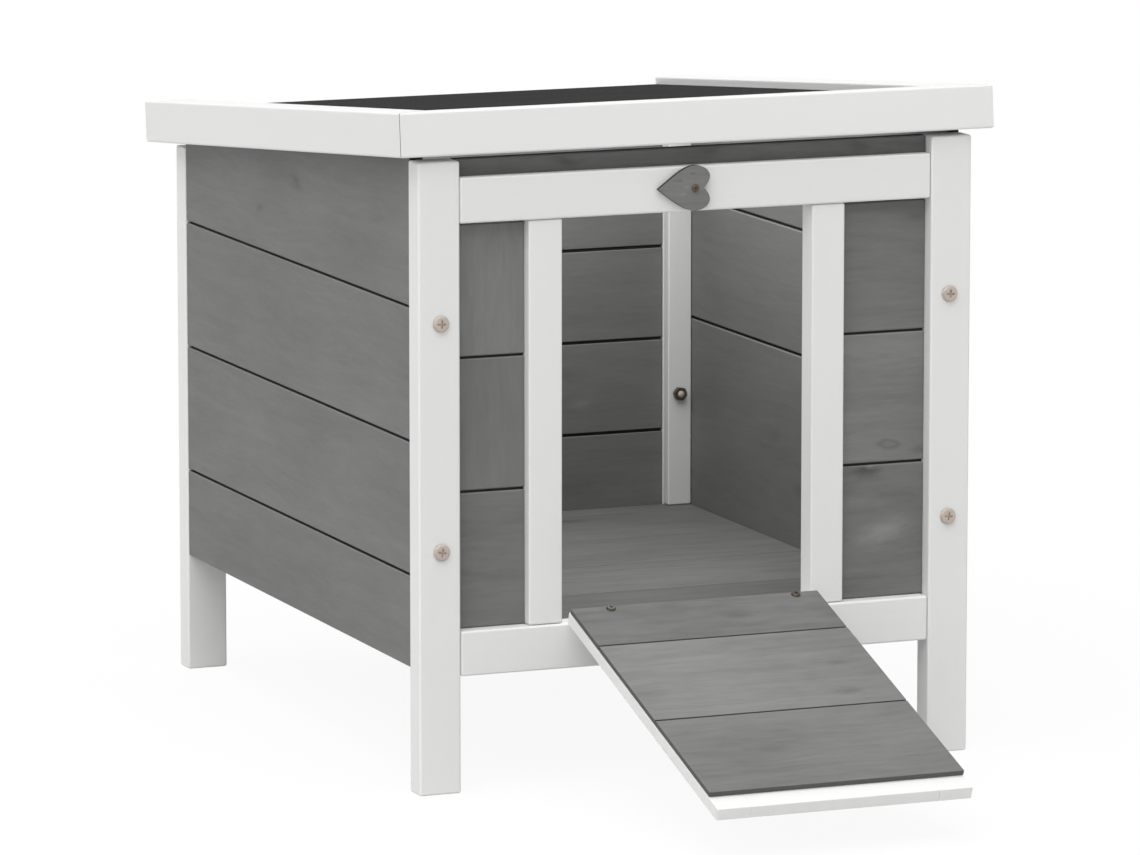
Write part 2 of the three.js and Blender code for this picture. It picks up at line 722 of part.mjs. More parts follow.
makePosts();
makeFrontRails();
makeStiles();
makeSidePlanks();
makeFrontPlanks();
makeBackWall();
makeFloor();
makeBattens();
makeBolts();
makeRamp();
makeRoof();
makeHeart();

// The origin lies on the ground under the middle of the whole, the lowered ramp included.
const rampReach = rampEndGap + rampLength;
const rampTop = hingeOffset + rampFrameThickness - rampBarRound;
const lowestY = rampAxisY - rampReach * Math.cos(rampSlope) - rampTop * Math.sin(rampSlope);
const roofRise = (roofRailHeight - roofRound) * Math.sin(roofPitch);
const highestY = roofLength * Math.cos(roofPitch) + roofRise - roofFrontOverhang;
hutch.position.set(-bodyWidth / 2, -(lowestY + highestY) / 2, 0);

const part = new THREE.Group();
part.add(hutch);
export default part;
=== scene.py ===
import itertools
import json
import math

import bmesh
import bpy
from mathutils import Euler, Matrix, Vector
from mathutils.geometry import interpolate_bezier


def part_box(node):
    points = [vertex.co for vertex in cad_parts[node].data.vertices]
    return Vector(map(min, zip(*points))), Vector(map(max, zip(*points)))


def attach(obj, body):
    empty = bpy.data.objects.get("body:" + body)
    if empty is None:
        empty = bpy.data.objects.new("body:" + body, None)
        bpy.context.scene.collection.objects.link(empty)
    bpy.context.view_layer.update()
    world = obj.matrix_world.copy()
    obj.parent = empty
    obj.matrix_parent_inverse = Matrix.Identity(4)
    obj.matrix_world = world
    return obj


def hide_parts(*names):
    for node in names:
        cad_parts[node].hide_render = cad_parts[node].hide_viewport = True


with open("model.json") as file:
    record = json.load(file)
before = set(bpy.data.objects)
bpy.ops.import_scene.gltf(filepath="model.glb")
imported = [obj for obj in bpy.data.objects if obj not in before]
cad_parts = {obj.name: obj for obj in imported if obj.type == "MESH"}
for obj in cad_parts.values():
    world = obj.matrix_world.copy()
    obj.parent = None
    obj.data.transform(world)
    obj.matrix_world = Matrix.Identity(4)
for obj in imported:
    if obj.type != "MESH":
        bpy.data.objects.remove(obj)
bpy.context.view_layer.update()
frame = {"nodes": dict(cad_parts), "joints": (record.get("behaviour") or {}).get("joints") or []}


# Posts: four lengths of planed pine, 29 by 18 mm, their edges rounded over and sprayed satin
# white. They stand on the ground and carry everything else, and each is drilled for two bolts.
CORNERS = [(end, side) for end in ("front", "back") for side in ("left", "right")]
POST_ROUND = 0.0016
ROUND_STEPS = 3
SOFT_ANGLE = math.radians(50)
DRILL_RADIUS = 0.0028
DRILL_SIDES = 24
DRILL_LENGTH = 2
PAINT_LIGHT = (0.80, 0.80, 0.793, 1)
PAINT_DEEP = (0.765, 0.765, 0.757, 1)
# Colour of the rounded edges: thinner paint, with a painted highlight on top.
PAINT_EDGE_HIGHLIGHT = (0.81, 0.81, 0.804, 1)
PAINT_EDGE_HIGHLIGHT_STRENGTH = 0.6
PAINT_CLOUDS = (5, 14, 14)
PAINT_FIBRES = (18, 420, 420)
PAINT_SPECKS = (900, 900, 900)
PAINT_SPECK_HEIGHT = 0.35
PAINT_GRAIN_DEPTH = 0.00006
PAINT_ROUGHNESS = 0.5
ROUGHNESS_SPREAD = 0.06
MITRE_FACING = 0.7


def feed(tree, socket, value):
    """Gives a socket a plain value, or links it to another node's output."""
    if isinstance(value, bpy.types.NodeSocket):
        tree.links.new(value, socket)
    else:
        socket.default_value = value


def add(tree, kind, feeds=(), **settings):
    """Adds a node: its settings made, its sockets fed with values or with other nodes' outputs."""
    made = tree.nodes.new(kind)
    for setting, value in settings.items():
        setattr(made, setting, value)
    for socket, value in dict(feeds).items():
        feed(tree, made.inputs[socket], value)
    return made


def calculate(tree, operation, *values):
    """A sum on single numbers."""
    return add(tree, "ShaderNodeMath", dict(enumerate(values)), operation=operation).outputs[0]


def times(tree, first, second):
    """Two numbers multiplied."""
    return calculate(tree, "MULTIPLY", first, second)


def weigh(tree, *pairs):
    """Several tones added up, each by its weight."""
    total = 0.0
    for tone, weight in pairs:
        total = calculate(tree, "MULTIPLY_ADD", tone, weight, total)
    return total


def carry_over(tree, value, start, stop, low=0.0, high=1.0):
    """A value between start and stop, carried over to the range between low and high."""
    sockets = {"Value": value, "From Min": start, "From Max": stop, "To Min": low, "To Max": high}
    return add(tree, "ShaderNodeMapRange", sockets).outputs[0]


def reckon(tree, operation, *values):
    """A sum on vectors."""
    slots = (0, "Scale") if operation == "SCALE" else (0, 1)
    node = add(tree, "ShaderNodeVectorMath", dict(zip(slots, values)), operation=operation)
    return node.outputs["Value" if operation == "LENGTH" else "Vector"]


def split(tree, vector):
    """A vector's three numbers."""
    return add(tree, "ShaderNodeSeparateXYZ", {"Vector": vector}).outputs


def vector_of(tree, x=0.0, y=0.0, z=0.0):
    """Three numbers as one vector."""
    return add(tree, "ShaderNodeCombineXYZ", {"X": x, "Y": y, "Z": z}).outputs[0]


def blend(tree, share, first, second):
    """One colour going over to another by a share from 0 to 1. A mix's colours are sockets 6 and 7."""
    return add(tree, "ShaderNodeMix", {0: share, 6: first, 7: second}, data_type="RGBA").outputs[2]


def noise(tree, place, stretch, detail=2.0, roughness=0.5):
    """Soft noise, stretched so that its marks run with the wood. Gives 0 to 1."""
    spread = reckon(tree, "MULTIPLY", place, stretch)
    sockets = {"Vector": spread, "Scale": 1.0, "Detail": detail, "Roughness": roughness}
    return add(tree, "ShaderNodeTexNoise", sockets).outputs["Fac"]


def finish_tree(name, roughness, metallic=0.0):
    """A new material. Gives it with its tree and its shader."""
    material = bpy.data.materials.new(name)
    material.use_nodes = True
    tree = material.node_tree
    shader = tree.nodes["Principled BSDF"]
    shader.inputs["Roughness"].default_value = roughness
    shader.inputs["Metallic"].default_value = metallic
    return material, tree, shader


def coat(tree, shader, colour, height, depth, rough=None):
    """Gives a surface its colour, a relief as deep as stated and, where it varies, its roughness."""
    relief = add(tree, "ShaderNodeBump", {"Height": height, "Distance": depth, "Strength": 1.0})
    feed(tree, shader.inputs["Base Color"], colour)
    feed(tree, shader.inputs["Normal"], relief.outputs["Normal"])
    if rough is not None:
        feed(tree, shader.inputs["Roughness"], rough)


def wood_axes(tree, grain, lay):
    """Where a point is on its board, and how much the surface there faces each way: first along the
    grain, then across it, then through it, which is the order that grain names the axes in. lay is
    how a turned board lies on the hutch."""
    source = add(tree, "ShaderNodeTexCoord").outputs
    back = lay.inverted()
    turn = back.to_euler()
    place = add(tree, "ShaderNodeMapping", {
        "Vector": source["Object"], "Location": back.to_translation(), "Rotation": turn,
    })
    facing = add(tree, "ShaderNodeMapping", {
        "Vector": source["Normal"], "Rotation": turn,
    }, vector_type="VECTOR")
    places, ways = (split(tree, node.outputs["Vector"]) for node in (place, facing))
    faces = [calculate(tree, "ABSOLUTE", ways[axis]) for axis in grain]
    return vector_of(tree, *(places[axis] for axis in grain)), faces


def edge_share(tree, faces):
    """1 where a board's rounded edge faces half way between two of its sides, 0 on its flats."""
    along, across, through = faces
    pairs = ((along, across), (across, through), (through, along))
    first, second, third = (times(tree, *pair) for pair in pairs)
    most = calculate(tree, "MAXIMUM", calculate(tree, "MAXIMUM", first, second), third)
    return times(tree, most, 2.0)


def white_paint(grain, lay=Matrix(), name="white paint", mitre=None):
    """Satin white paint on planed pine: the grain stands up a little, and the rounded edges are
    lighter, with thinner paint there and a painted highlight.
    mitre is the colour painted where a mitred end faces half way between along and across: bare wood,
    darkened by painted shade of the joint."""
    material, tree, shader = finish_tree(f"{name}, grain along {grain[0]}", PAINT_ROUGHNESS)
    place, faces = wood_axes(tree, grain, lay)
    clouds = noise(tree, place, PAINT_CLOUDS)
    fibres = noise(tree, place, PAINT_FIBRES, detail=3.0)
    specks = noise(tree, place, PAINT_SPECKS)
    colour = blend(tree, weigh(tree, (clouds, 0.7), (fibres, 0.3)), PAINT_DEEP, PAINT_LIGHT)
    # The rounded edges get a painted highlight, lighter than the flats, over their thinner paint.
    edge = times(tree, edge_share(tree, faces), PAINT_EDGE_HIGHLIGHT_STRENGTH)
    colour = blend(tree, edge, colour, PAINT_EDGE_HIGHLIGHT)
    # Mitred ends are darkened: bare wood, with painted shade standing in for the shadow in the joint.
    if mitre is not None:
        along, across, through = faces
        aside = calculate(tree, "MAXIMUM", across, through)
        between = calculate(tree, "MINIMUM", along, aside)
        slant = calculate(tree, "GREATER_THAN", between, MITRE_FACING)
        colour = blend(tree, slant, colour, mitre)
    rough = carry_over(
        tree, clouds, 0.0, 1.0, PAINT_ROUGHNESS - ROUGHNESS_SPREAD, PAINT_ROUGHNESS + ROUGHNESS_SPREAD)
    height = weigh(tree, (fibres, 1.0), (specks, PAINT_SPECK_HEIGHT))
    coat(tree, shader, colour, height, PAINT_GRAIN_DEPTH, rough)
    return material


def rectangle(low, high):
    """A board's outline, seen along its third side."""
    return [(low[0], low[1]), (high[0], low[1]), (high[0], high[1]), (low[0], high[1])]


def saw(outline, near, far):
    """A length of wood sawn to an outline, from near to far, its edges still sharp."""
    shape = bmesh.new()
    rings = [[shape.verts.new((x, y, level)) for x, y in outline] for level in (near, far)]
    shape.faces.new(rings[0])
    shape.faces.new(rings[1])
    for index in range(len(outline)):
        after = (index + 1) % len(outline)
        shape.faces.new([rings[0][index], rings[0][after], rings[1][after], rings[1][index]])
    bmesh.ops.recalc_face_normals(shape, faces=shape.faces)
    return shape


def round_over(shape, radius, joints=()):
    """Rounds the edges over, but keeps them sharp where the board butts against another one. Each
    joint is a test of whether a point lies in its plane."""
    edges = [edge for edge in shape.edges
             if not any(all(lies_in(corner.co) for corner in edge.verts) for lies_in in joints)]
    bmesh.ops.bevel(
        shape, geom=edges, offset=radius, offset_type="OFFSET",
        segments=ROUND_STEPS, profile=0.5, affect="EDGES", clamp_overlap=True,
    )
    return shape


def squared_board(low, high, radius):
    """A board between two opposite corners, its edges rounded over."""
    return round_over(saw(rectangle(low, high), low[2], high[2]), radius)


def mesh_of(name, shape):
    """A mesh of a shape, which is used up."""
    mesh = bpy.data.meshes.new(name)
    shape.to_mesh(mesh)
    shape.free()
    return mesh


def new_object(name, data):
    """An object of a mesh, a lamp or a camera, in the scene."""
    made = bpy.data.objects.new(name, data)
    bpy.context.scene.collection.objects.link(made)
    return made


def tilt(degrees):
    """A turn about a line across the hutch."""
    return Matrix.Rotation(math.radians(degrees), 4, "X")


def drill(shape, centres, radius):
    """Drills holes from front to back at those places."""
    bits = bmesh.new()
    for x, z in centres:
        lay = Matrix.Translation((x, 0, z)) @ tilt(90)
        bmesh.ops.create_cone(
            bits, cap_ends=True, segments=DRILL_SIDES, radius1=radius, radius2=radius,
            depth=DRILL_LENGTH, matrix=lay,
        )
    wood = new_object("drilled wood", mesh_of("drilled wood", shape))
    drills = new_object("drill bits", mesh_of("drill bits", bits))
    holes = wood.modifiers.new("holes", "BOOLEAN")
    holes.operation = "DIFFERENCE"
    holes.solver = "EXACT"
    holes.object = drills
    ready = wood.evaluated_get(bpy.context.evaluated_depsgraph_get())
    drilled = bmesh.new()
    drilled.from_mesh(ready.data)
    for thing in (wood, drills):
        mesh = thing.data
        bpy.data.objects.remove(thing)
        bpy.data.meshes.remove(mesh)
    return drilled


def soften(mesh, angle):
    """Shades a mesh smooth, and keeps the edges sharp that turn by more than the angle."""
    mesh.polygons.foreach_set("use_smooth", [True] * len(mesh.polygons))
    mesh.set_sharp_from_angle(angle=angle)


def hand_over(made, body, stands_for):
    """Gives an object to its body, and hides the CAD nodes that it stands for."""
    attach(made, body)
    if stands_for:
        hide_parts(*stands_for)


def piece(name, shape, material, body, lay=None, stands_for=()):
    """Makes an object of a shape, lays it in its place and hands it to its body."""
    if lay is not None:
        bmesh.ops.transform(shape, matrix=lay, verts=shape.verts)
    bmesh.ops.recalc_face_normals(shape, faces=shape.faces)
    mesh = mesh_of(name, shape)
    mesh.materials.append(material)
    soften(mesh, SOFT_ANGLE)
    made = new_object(name, mesh)
    made.modifiers.new("flats stay flat", "WEIGHTED_NORMAL").keep_sharp = True
    hand_over(made, body, stands_for)


def middle_of(node):
    """The middle of a CAD node's box."""
    low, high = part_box(node)
    return (low + high) / 2


def bolt_centres(end, side):
    """Where a post's two bolts pass through it, as pairs of width and height."""
    middles = [middle_of(f"{end}_{side}_{level}_bolt") for level in ("lower", "upper")]
    return [(middle.x, middle.z) for middle in middles]


def stand_uprights(kind, radius):
    """Stands a white upright in each corner, drilled for its two bolts."""
    for end, side in CORNERS:
        node = f"{end}_{side}_{kind}"
        upright = drill(squared_board(*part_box(node), radius), bolt_centres(end, side), DRILL_RADIUS)
        piece(f"{end}_{side}_corner_{kind}", upright, upright_paint, "hutch",
              stands_for=[node])


upright_paint = white_paint("ZXY")
stand_uprights("post", POST_ROUND)


# Top rail, sill and stiles: white boards between the front posts that frame the doorway. The sill
# has a ledge behind it for the floor, and the top rail is drilled for the heart's screw.
RAIL_ROUND = 0.0016
STILE_ROUND = 0.0013
LEDGE_ROUND = 0.0006
LEDGE_GAP = 0.0003
SILL_THICKNESS = 0.018
SCREW_DRILL_RADIUS = 0.0017

level_paint = white_paint("XYZ")
hole = middle_of("heart_screw")
rail = squared_board(*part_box("front_top_rail"), RAIL_ROUND)
rail = drill(rail, [(hole.x, hole.z)], SCREW_DRILL_RADIUS)
piece("top_rail", rail, level_paint, "hutch", stands_for=["front_top_rail"])

low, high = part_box("sill_rail")
ledge_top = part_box("floor_panel")[0].z - LEDGE_GAP
sill_back = low.y + SILL_THICKNESS
sill = squared_board(low, (high.x, sill_back, high.z), RAIL_ROUND)
piece("sill", sill, level_paint, "hutch", stands_for=["sill_rail"])
ledge_low = (low.x + RAIL_ROUND, sill_back, low.z + RAIL_ROUND)
ledge = squared_board(ledge_low, (high.x - RAIL_ROUND, high.y, ledge_top), LEDGE_ROUND)
piece("sill_ledge", ledge, level_paint, "hutch")

for side in ("left", "right"):
    node = f"doorway_{side}_stile"
    stile = squared_board(*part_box(node), STILE_ROUND)
    piece(f"{side}_stile", stile, upright_paint, "hutch", stands_for=[node])


# Side walls: tongued pine boards laid on each other between the posts, the top one cut to the roof's
# fall. There are four on the left and three on the right, the lowest a wide one. All are wiped with a
# grey stain that takes unevenly and shows the figure. Their sawn edges and tongues are dark: stain
# soaked into the sawn wood, and painted shade in the seams.
STAIN_DEEP = (0.132, 0.132, 0.13, 1)
STAIN_LIGHT = (0.184, 0.184, 0.181, 1)
# Colour of the stained boards' rounded edges: wear, and a painted highlight where a chamfer catches
# the light.
STAIN_EDGE_WEAR_AND_HIGHLIGHT = (0.22, 0.22, 0.216, 1)
STAIN_KNOT = (0.06, 0.058, 0.055, 1)
STAIN_PALE = (0.30, 0.30, 0.294, 1)
# Near black on sawn edges and tongues: stain soaked into the sawn wood, and painted shade in the
# seams.
SEAM_STAIN_AND_SHADE = (0.022, 0.022, 0.021, 1)
STAIN_EDGE_WEAR_AND_HIGHLIGHT_STRENGTH = 0.45
STAIN_ROUGHNESS = 0.72
STAIN_TONES = (0.3, 0.7)
STAIN_GRAIN_DEPTH = 0.00009
RIM_FACING = (0.6, 0.31)
WANDER = (6, 20, 20)
WANDER_REACH = (0, 0.016, 0.016)
RING_SPACING = 0.0088
RING_TAPER = 0.03
STREAKS = (12, 80, 80)
FINE_STREAKS = (48, 330, 330)
FIBRES = (160, 1300, 1300)
STAIN_CLOUDS = (8, 19, 19)
FIGURE_HALF_RANGE = 0.18
KNOT_RAGS = (90, 240, 0)
KNOT_RAGGEDNESS = 1.3
KNOT_STRETCH = (0.42, 1, 0)
RING_PLACE = 0.9
RING_SHARPNESS = 3.0
LED_REACH = 3.2
LED_PULL = (0, -0.5, 0)
HEART_STEP = 1.7
HEART_ASIDE = 0.023
HEART_DEPTH = 0.05
HEART_DEPTH_SWING = 0.02
HEART_TURNS = (2.1, 1.3)
SIDE_CONTRAST = 0.8
TONGUE_LENGTH = 0.0035
SIDE_BOARD_MARKS = {
    "left_side_plank_4": [
        (0.108, 0.376, 0.0042, -0.3, 0.0, 0.42), (0.1815, 0.349, 0.0028, 0.3, 0.0, 0.4),
    ],
    "right_side_plank_1": [
        (0.132, 0.136, 0.005, 0.2, 0.0, 0.3), (0.174, 0.169, 0.005, 0.2, 0.0, 0.22),
    ],
}


def new_group(name, kind, inputs, outputs):
    """A new tree of nodes with sockets of the stated types. Gives it with what comes in, and with
    its sockets by name."""
    group = bpy.data.node_groups.new(name, kind)
    sockets = {}
    for way, named in (("OUTPUT", outputs), ("INPUT", inputs)):
        for socket, of in named.items():
            sockets[socket] = group.interface.new_socket(
                name=socket, in_out=way, socket_type=f"NodeSocket{of}")
    return group, add(group, "NodeGroupInput").outputs, sockets


def bell(tree, distance):
    """1 at no distance, falling off softly to 0."""
    squared = times(tree, distance, distance)
    return calculate(tree, "EXPONENT", times(tree, squared, -1.0))


def pine_figure():
    """How pine is marked: year rings cut through, streaks, fine fibres and clouds of stain. Place is
    where the point is on the board, and Heart where the tree's heart lay beside it."""
    group, given, _ = new_group(
        "pine figure", "ShaderNodeTree",
        {"Place": "Vector", "Heart": "Vector"}, {"Tone": "Float", "Grain": "Float"})
    place = reckon(group, "SUBTRACT", given["Place"], given["Heart"])
    wander = add(group, "ShaderNodeTexNoise", {
        "Vector": reckon(group, "MULTIPLY", place, WANDER), "Scale": 1.0, "Detail": 1.0,
    }).outputs["Color"]
    centred = reckon(group, "SUBTRACT", wander, (0.5, 0.5, 0.5))
    bent = reckon(group, "ADD", place, reckon(group, "MULTIPLY", centred, WANDER_REACH))
    parts = split(group, bent)
    around = reckon(group, "LENGTH", vector_of(group, y=parts["Y"], z=parts["Z"]))
    reach = calculate(group, "MULTIPLY_ADD", parts["X"], RING_TAPER, around)
    wave = calculate(group, "SINE", times(group, reach, 2 * math.pi / RING_SPACING))
    rings = calculate(group, "MULTIPLY_ADD", wave, 0.5, 0.5)
    streaks = noise(group, bent, STREAKS, detail=3.0, roughness=0.6)
    fine_streaks = noise(group, bent, FINE_STREAKS)
    fibres = noise(group, bent, FIBRES)
    clouds = noise(group, place, STAIN_CLOUDS)
    tone = weigh(group, (rings, 0.03), (streaks, 0.30), (fine_streaks, 0.22), (clouds, 0.35),
                 (fibres, 0.10))
    grain = weigh(group, (fibres, 0.6), (fine_streaks, 0.4))
    add(group, "NodeGroupOutput", {"Tone": tone, "Grain": grain})
    return group


def knot_mark():
    """A knot or a smear: a mark with the grain led round it. Size is how far it reaches across the
    grain, Turn how it is turned on the board, and Ring goes from a plain smear to an open ring."""
    group, given, _ = new_group(
        "knot", "ShaderNodeTree",
        {"Place": "Vector", "Middle": "Vector", "Size": "Float", "Turn": "Float", "Ring": "Float"},
        {"Place": "Vector", "Mark": "Float"})
    away = reckon(group, "SUBTRACT", given["Place"], given["Middle"])
    own = add(group, "ShaderNodeVectorRotate", {"Vector": away, "Angle": given["Turn"]},
              rotation_type="Z_AXIS").outputs["Vector"]
    ragged = calculate(group, "SUBTRACT", noise(group, own, KNOT_RAGS, detail=3.0), 0.5)
    apart = reckon(group, "LENGTH", reckon(group, "MULTIPLY", own, KNOT_STRETCH))
    even = calculate(group, "DIVIDE", apart, given["Size"])
    near = weigh(group, (even, 1.0), (ragged, KNOT_RAGGEDNESS))
    off_ring = calculate(group, "SUBTRACT", near, RING_PLACE)
    ring = bell(group, times(group, off_ring, RING_SHARPNESS))
    plain = calculate(group, "SUBTRACT", 1.0, given["Ring"])
    mark = weigh(group, (ring, given["Ring"]), (bell(group, near), plain))
    wide = calculate(group, "DIVIDE", apart, times(group, given["Size"], LED_REACH))
    pull = reckon(group, "SCALE", reckon(group, "MULTIPLY", away, LED_PULL), bell(group, wide))
    add(group, "NodeGroupOutput", {"Place": reckon(group, "ADD", given["Place"], pull), "Mark": mark})
    return group


figure_group = pine_figure()
knot_group = knot_mark()


def grey_stain(name, grain, lay=Matrix(), marks=(), light=1.0, contrast=1.0, rim=SEAM_STAIN_AND_SHADE,
               shoulder=None):
    """Pine wiped with grey stain, each board from another place in the tree. A mark is its place along
    and across the board, size, turn, ring share and strength, below 0 for a pale one. rim is the
    colour of the board's sawn edges, stain soaked in with painted seam shade, and of its tongue, which
    starts at shoulder and is painted shade deep in its groove."""
    material, tree, shader = finish_tree(f"grey stain, {name}", STAIN_ROUGHNESS)
    place, faces = wood_axes(tree, grain, lay)
    height = split(tree, place)[grain.index("Z")]
    toned = []
    for along, across, size, turn, ring, strength in marks:
        knot = add(tree, "ShaderNodeGroup", {
            "Place": place, "Middle": (along, across, 0), "Size": size, "Turn": turn, "Ring": ring,
        }, node_tree=knot_group).outputs
        place = knot["Place"]
        toned.append((knot["Mark"], strength))
    figure = add(tree, "ShaderNodeGroup", {
        "Place": place, "Heart": heart_of(next(board_numbers)),
    }, node_tree=figure_group).outputs
    half = FIGURE_HALF_RANGE / contrast
    share = carry_over(tree, figure["Tone"], 0.5 - half, 0.5 + half)
    deep, pale, knot_shade, pale_mark, worn_and_lit = (
        (*(channel * light for channel in shade[:3]), 1)
        for shade in (STAIN_DEEP, STAIN_LIGHT, STAIN_KNOT, STAIN_PALE, STAIN_EDGE_WEAR_AND_HIGHLIGHT))
    colour = blend(tree, share, deep, pale)
    for mark, strength in toned:
        shade = knot_shade if strength > 0 else pale_mark
        colour = blend(tree, times(tree, mark, abs(strength)), colour, shade)
    # The rounded edges are lighter: wear, and a painted highlight where the chamfer under a seam
    # catches the light.
    edge = times(tree, edge_share(tree, faces), STAIN_EDGE_WEAR_AND_HIGHLIGHT_STRENGTH)
    colour = blend(tree, edge, colour, worn_and_lit)
    # Sawn edges and the tongue take the rim colour: stain soaked in, and painted shade that blackens
    # the seams between boards.
    sawn_and_seam_shade = carry_over(tree, faces[2], *RIM_FACING)
    if shoulder is not None:
        sawn_and_seam_shade = calculate(tree, "MAXIMUM", sawn_and_seam_shade, calculate(tree, "GREATER_THAN", height, shoulder))
    colour = blend(tree, sawn_and_seam_shade, colour, rim)
    rough = carry_over(tree, figure["Tone"], *STAIN_TONES,
                       STAIN_ROUGHNESS + ROUGHNESS_SPREAD, STAIN_ROUGHNESS - ROUGHNESS_SPREAD)
    coat(tree, shader, colour, figure["Grain"], STAIN_GRAIN_DEPTH, rough)
    return material


def give_finish(node, material):
    """Puts a finish on a CAD piece that keeps its shape."""
    mesh = frame["nodes"][node].data
    mesh.materials.clear()
    mesh.materials.append(material)


def heart_of(board):
    """Where the tree's heart lay beside the board of that number, different for each."""
    aside, deep = HEART_TURNS
    return (HEART_STEP * board, HEART_ASIDE * math.sin(aside * board),
            HEART_DEPTH + HEART_DEPTH_SWING * math.cos(deep * board))


def shoulder_of(node):
    """How high a CAD board's shoulder is, where its tongue starts."""
    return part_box(node)[1].z - TONGUE_LENGTH


board_numbers = itertools.count(1)
for side, rows in (("left", 4), ("right", 3)):
    for row in range(1, rows + 1):
        node = f"{side}_side_plank_{row}"
        shoulder = shoulder_of(node) if row < rows else None
        give_finish(node, grey_stain(node, "YZX", marks=SIDE_BOARD_MARKS.get(node, ()),
                                     contrast=SIDE_CONTRAST, shoulder=shoulder))


# Front wall: three short boards each side of the doorway, and a full one behind the top rail, of the
# same stained pine, nailed to the battens from inside. On the upper two at the left the grain stands.
FRONT_BOARDS = {
    "front_left_plank_1": ("XZY", 0.95, 1.3, ()),
    "front_left_plank_2": ("ZXY", 0.97, 0.9, ()),
    "front_left_plank_3": ("ZXY", 1.06, 1.2, ()),
    "front_right_plank_1": ("XZY", 0.94, 1.5, [
        (0.125, 0.1935, 0.0042, 0.1, 0.0, 0.85), (0.129, 0.1955, 0.0012, -0.1, 0.0, -0.6),
        (0.138, 0.152, 0.0075, -0.2, 0.0, -0.6), (0.152, 0.172, 0.007, 0.3, 0.0, 0.35),
    ]),
    "front_right_plank_2": ("XZY", 1.08, 1.3, [
        (0.142, 0.2105, 0.0029, 0.15, 0.65, 0.5), (0.165, 0.206, 0.003, 0.2, 0.0, 0.35),
    ]),
    "front_right_plank_3": ("XZY", 0.95, 1.2, [(0.16, 0.362, 0.004, 0.0, 0.0, 0.3)]),
    "front_top_plank": ("XZY", 0.8, 1.6, [
        (-0.09, 0.411, 0.003, 0.2, 0.0, 0.5), (0.012, 0.413, 0.003, 0.0, 0.0, 0.4),
        (0.118, 0.412, 0.0035, 0.3, 0.0, 0.4),
    ]),
}

for node, (grain, light, contrast, marks) in FRONT_BOARDS.items():
    shoulder = shoulder_of(node) if node[-1] in "12" else None
    give_finish(node, grey_stain(node, grain, marks=marks, light=light, contrast=contrast,
                                 shoulder=shoulder))


# Back wall: grey boards with tongues, held by two white rails behind them, and the white ledge that
# carries the floor. It comes as one panel, screwed between the back posts.
BACK_BOARD_PITCH = 0.067
BACK_BOARD_BOTTOM = 0.0837
BACK_BOARD_GAP = 0.0021
BACK_BOARD_THICKNESS = 0.0085
BACK_BOARD_ROUND = 0.0007
BACK_BOARD_ROWS = 5
BACK_BOARD_CONTRAST = 1.1
BACK_BOARD_MARKS = {1: [(0.104, 0.172, 0.0034, 0.0, 0.0, -0.3), (0.092, 0.193, 0.006, 0.1, 0.0, 0.25)]}
BACK_RAIL_THICKNESS = 0.008
BACK_RAIL_HEIGHT = 0.030
BACK_TONGUE = (TONGUE_LENGTH, 0.003)
TONGUE_SLACK = 0.0003


def tongued_end(bottom, top, near, far, tongued, grooved, tongue):
    """A tongued board seen from its end: how far back it lies and how high. tongue is how long and
    how thick the tongue is."""
    length, thickness = tongue
    middle = (near + far) / 2
    half = thickness / 2
    points = [(near, bottom)]
    if grooved:
        wide = half + TONGUE_SLACK
        points += [(middle - wide, bottom), (middle - wide, bottom + length)]
        points += [(middle + wide, bottom + length), (middle + wide, bottom)]
    points += [(far, bottom), (far, top)]
    if tongued:
        points += [(middle + half, top), (middle + half, top + length)]
        points += [(middle - half, top + length), (middle - half, top)]
    return points + [(near, top)]


low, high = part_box("back_wall")
wall_back = high.y - BACK_RAIL_THICKNESS
wall_face = wall_back - BACK_BOARD_THICKNESS
lengthwise = Matrix(((0, 0, 1, 0), (1, 0, 0, 0), (0, 1, 0, 0), (0, 0, 0, 1)))
for row in range(BACK_BOARD_ROWS):
    bottom = BACK_BOARD_BOTTOM + row * BACK_BOARD_PITCH
    is_top = row == BACK_BOARD_ROWS - 1
    top = high.z if is_top else bottom + BACK_BOARD_PITCH - BACK_BOARD_GAP
    end = tongued_end(bottom, top, wall_face, wall_back, not is_top, row > 0, BACK_TONGUE)
    board = round_over(saw(end, low.x, high.x), BACK_BOARD_ROUND)
    name = f"back_board_{row + 1}"
    stain = grey_stain(name, "XZY", marks=BACK_BOARD_MARKS.get(row, ()),
                       contrast=BACK_BOARD_CONTRAST, shoulder=None if is_top else top)
    piece(name, board, stain, "hutch", lengthwise, ["back_wall"] if row == 0 else [])

for name, bottom in (("back_lower_rail", low.z), ("back_upper_rail", high.z - BACK_RAIL_HEIGHT)):
    rail_high = (high.x, high.y, bottom + BACK_RAIL_HEIGHT)
    rail = squared_board((low.x, wall_back, bottom), rail_high, RAIL_ROUND)
    piece(name, rail, level_paint, "hutch")
ledge_low = (low.x + RAIL_ROUND, low.y, low.z + RAIL_ROUND)
ledge = squared_board(ledge_low, (high.x - RAIL_ROUND, wall_face, ledge_top), LEDGE_ROUND)
piece("back_ledge", ledge, level_paint, "hutch")


# Battens: short white uprights inside the four corners. The walls' boards are nailed to them, and
# the posts' bolts pass through them to their nuts.
BATTEN_ROUND = 0.001

stand_uprights("batten", BATTEN_ROUND)


# Floor: thin boards of the same stained pine, laid side by side across the hutch. They rest on the
# two ledges, inside the walls.
FLOOR_BOARD_PITCH = 0.094
FLOOR_BOARD_GAP = 0.0009
FLOOR_BOARD_ROUND = 0.0004
FLOOR_LEAST_WIDTH = FLOOR_BOARD_PITCH / 4
FLOOR_MARK = (0.078, 0.292, 0.0045, 0.1, 0.0, 0.6)
FLOOR_LIGHT = 0.96
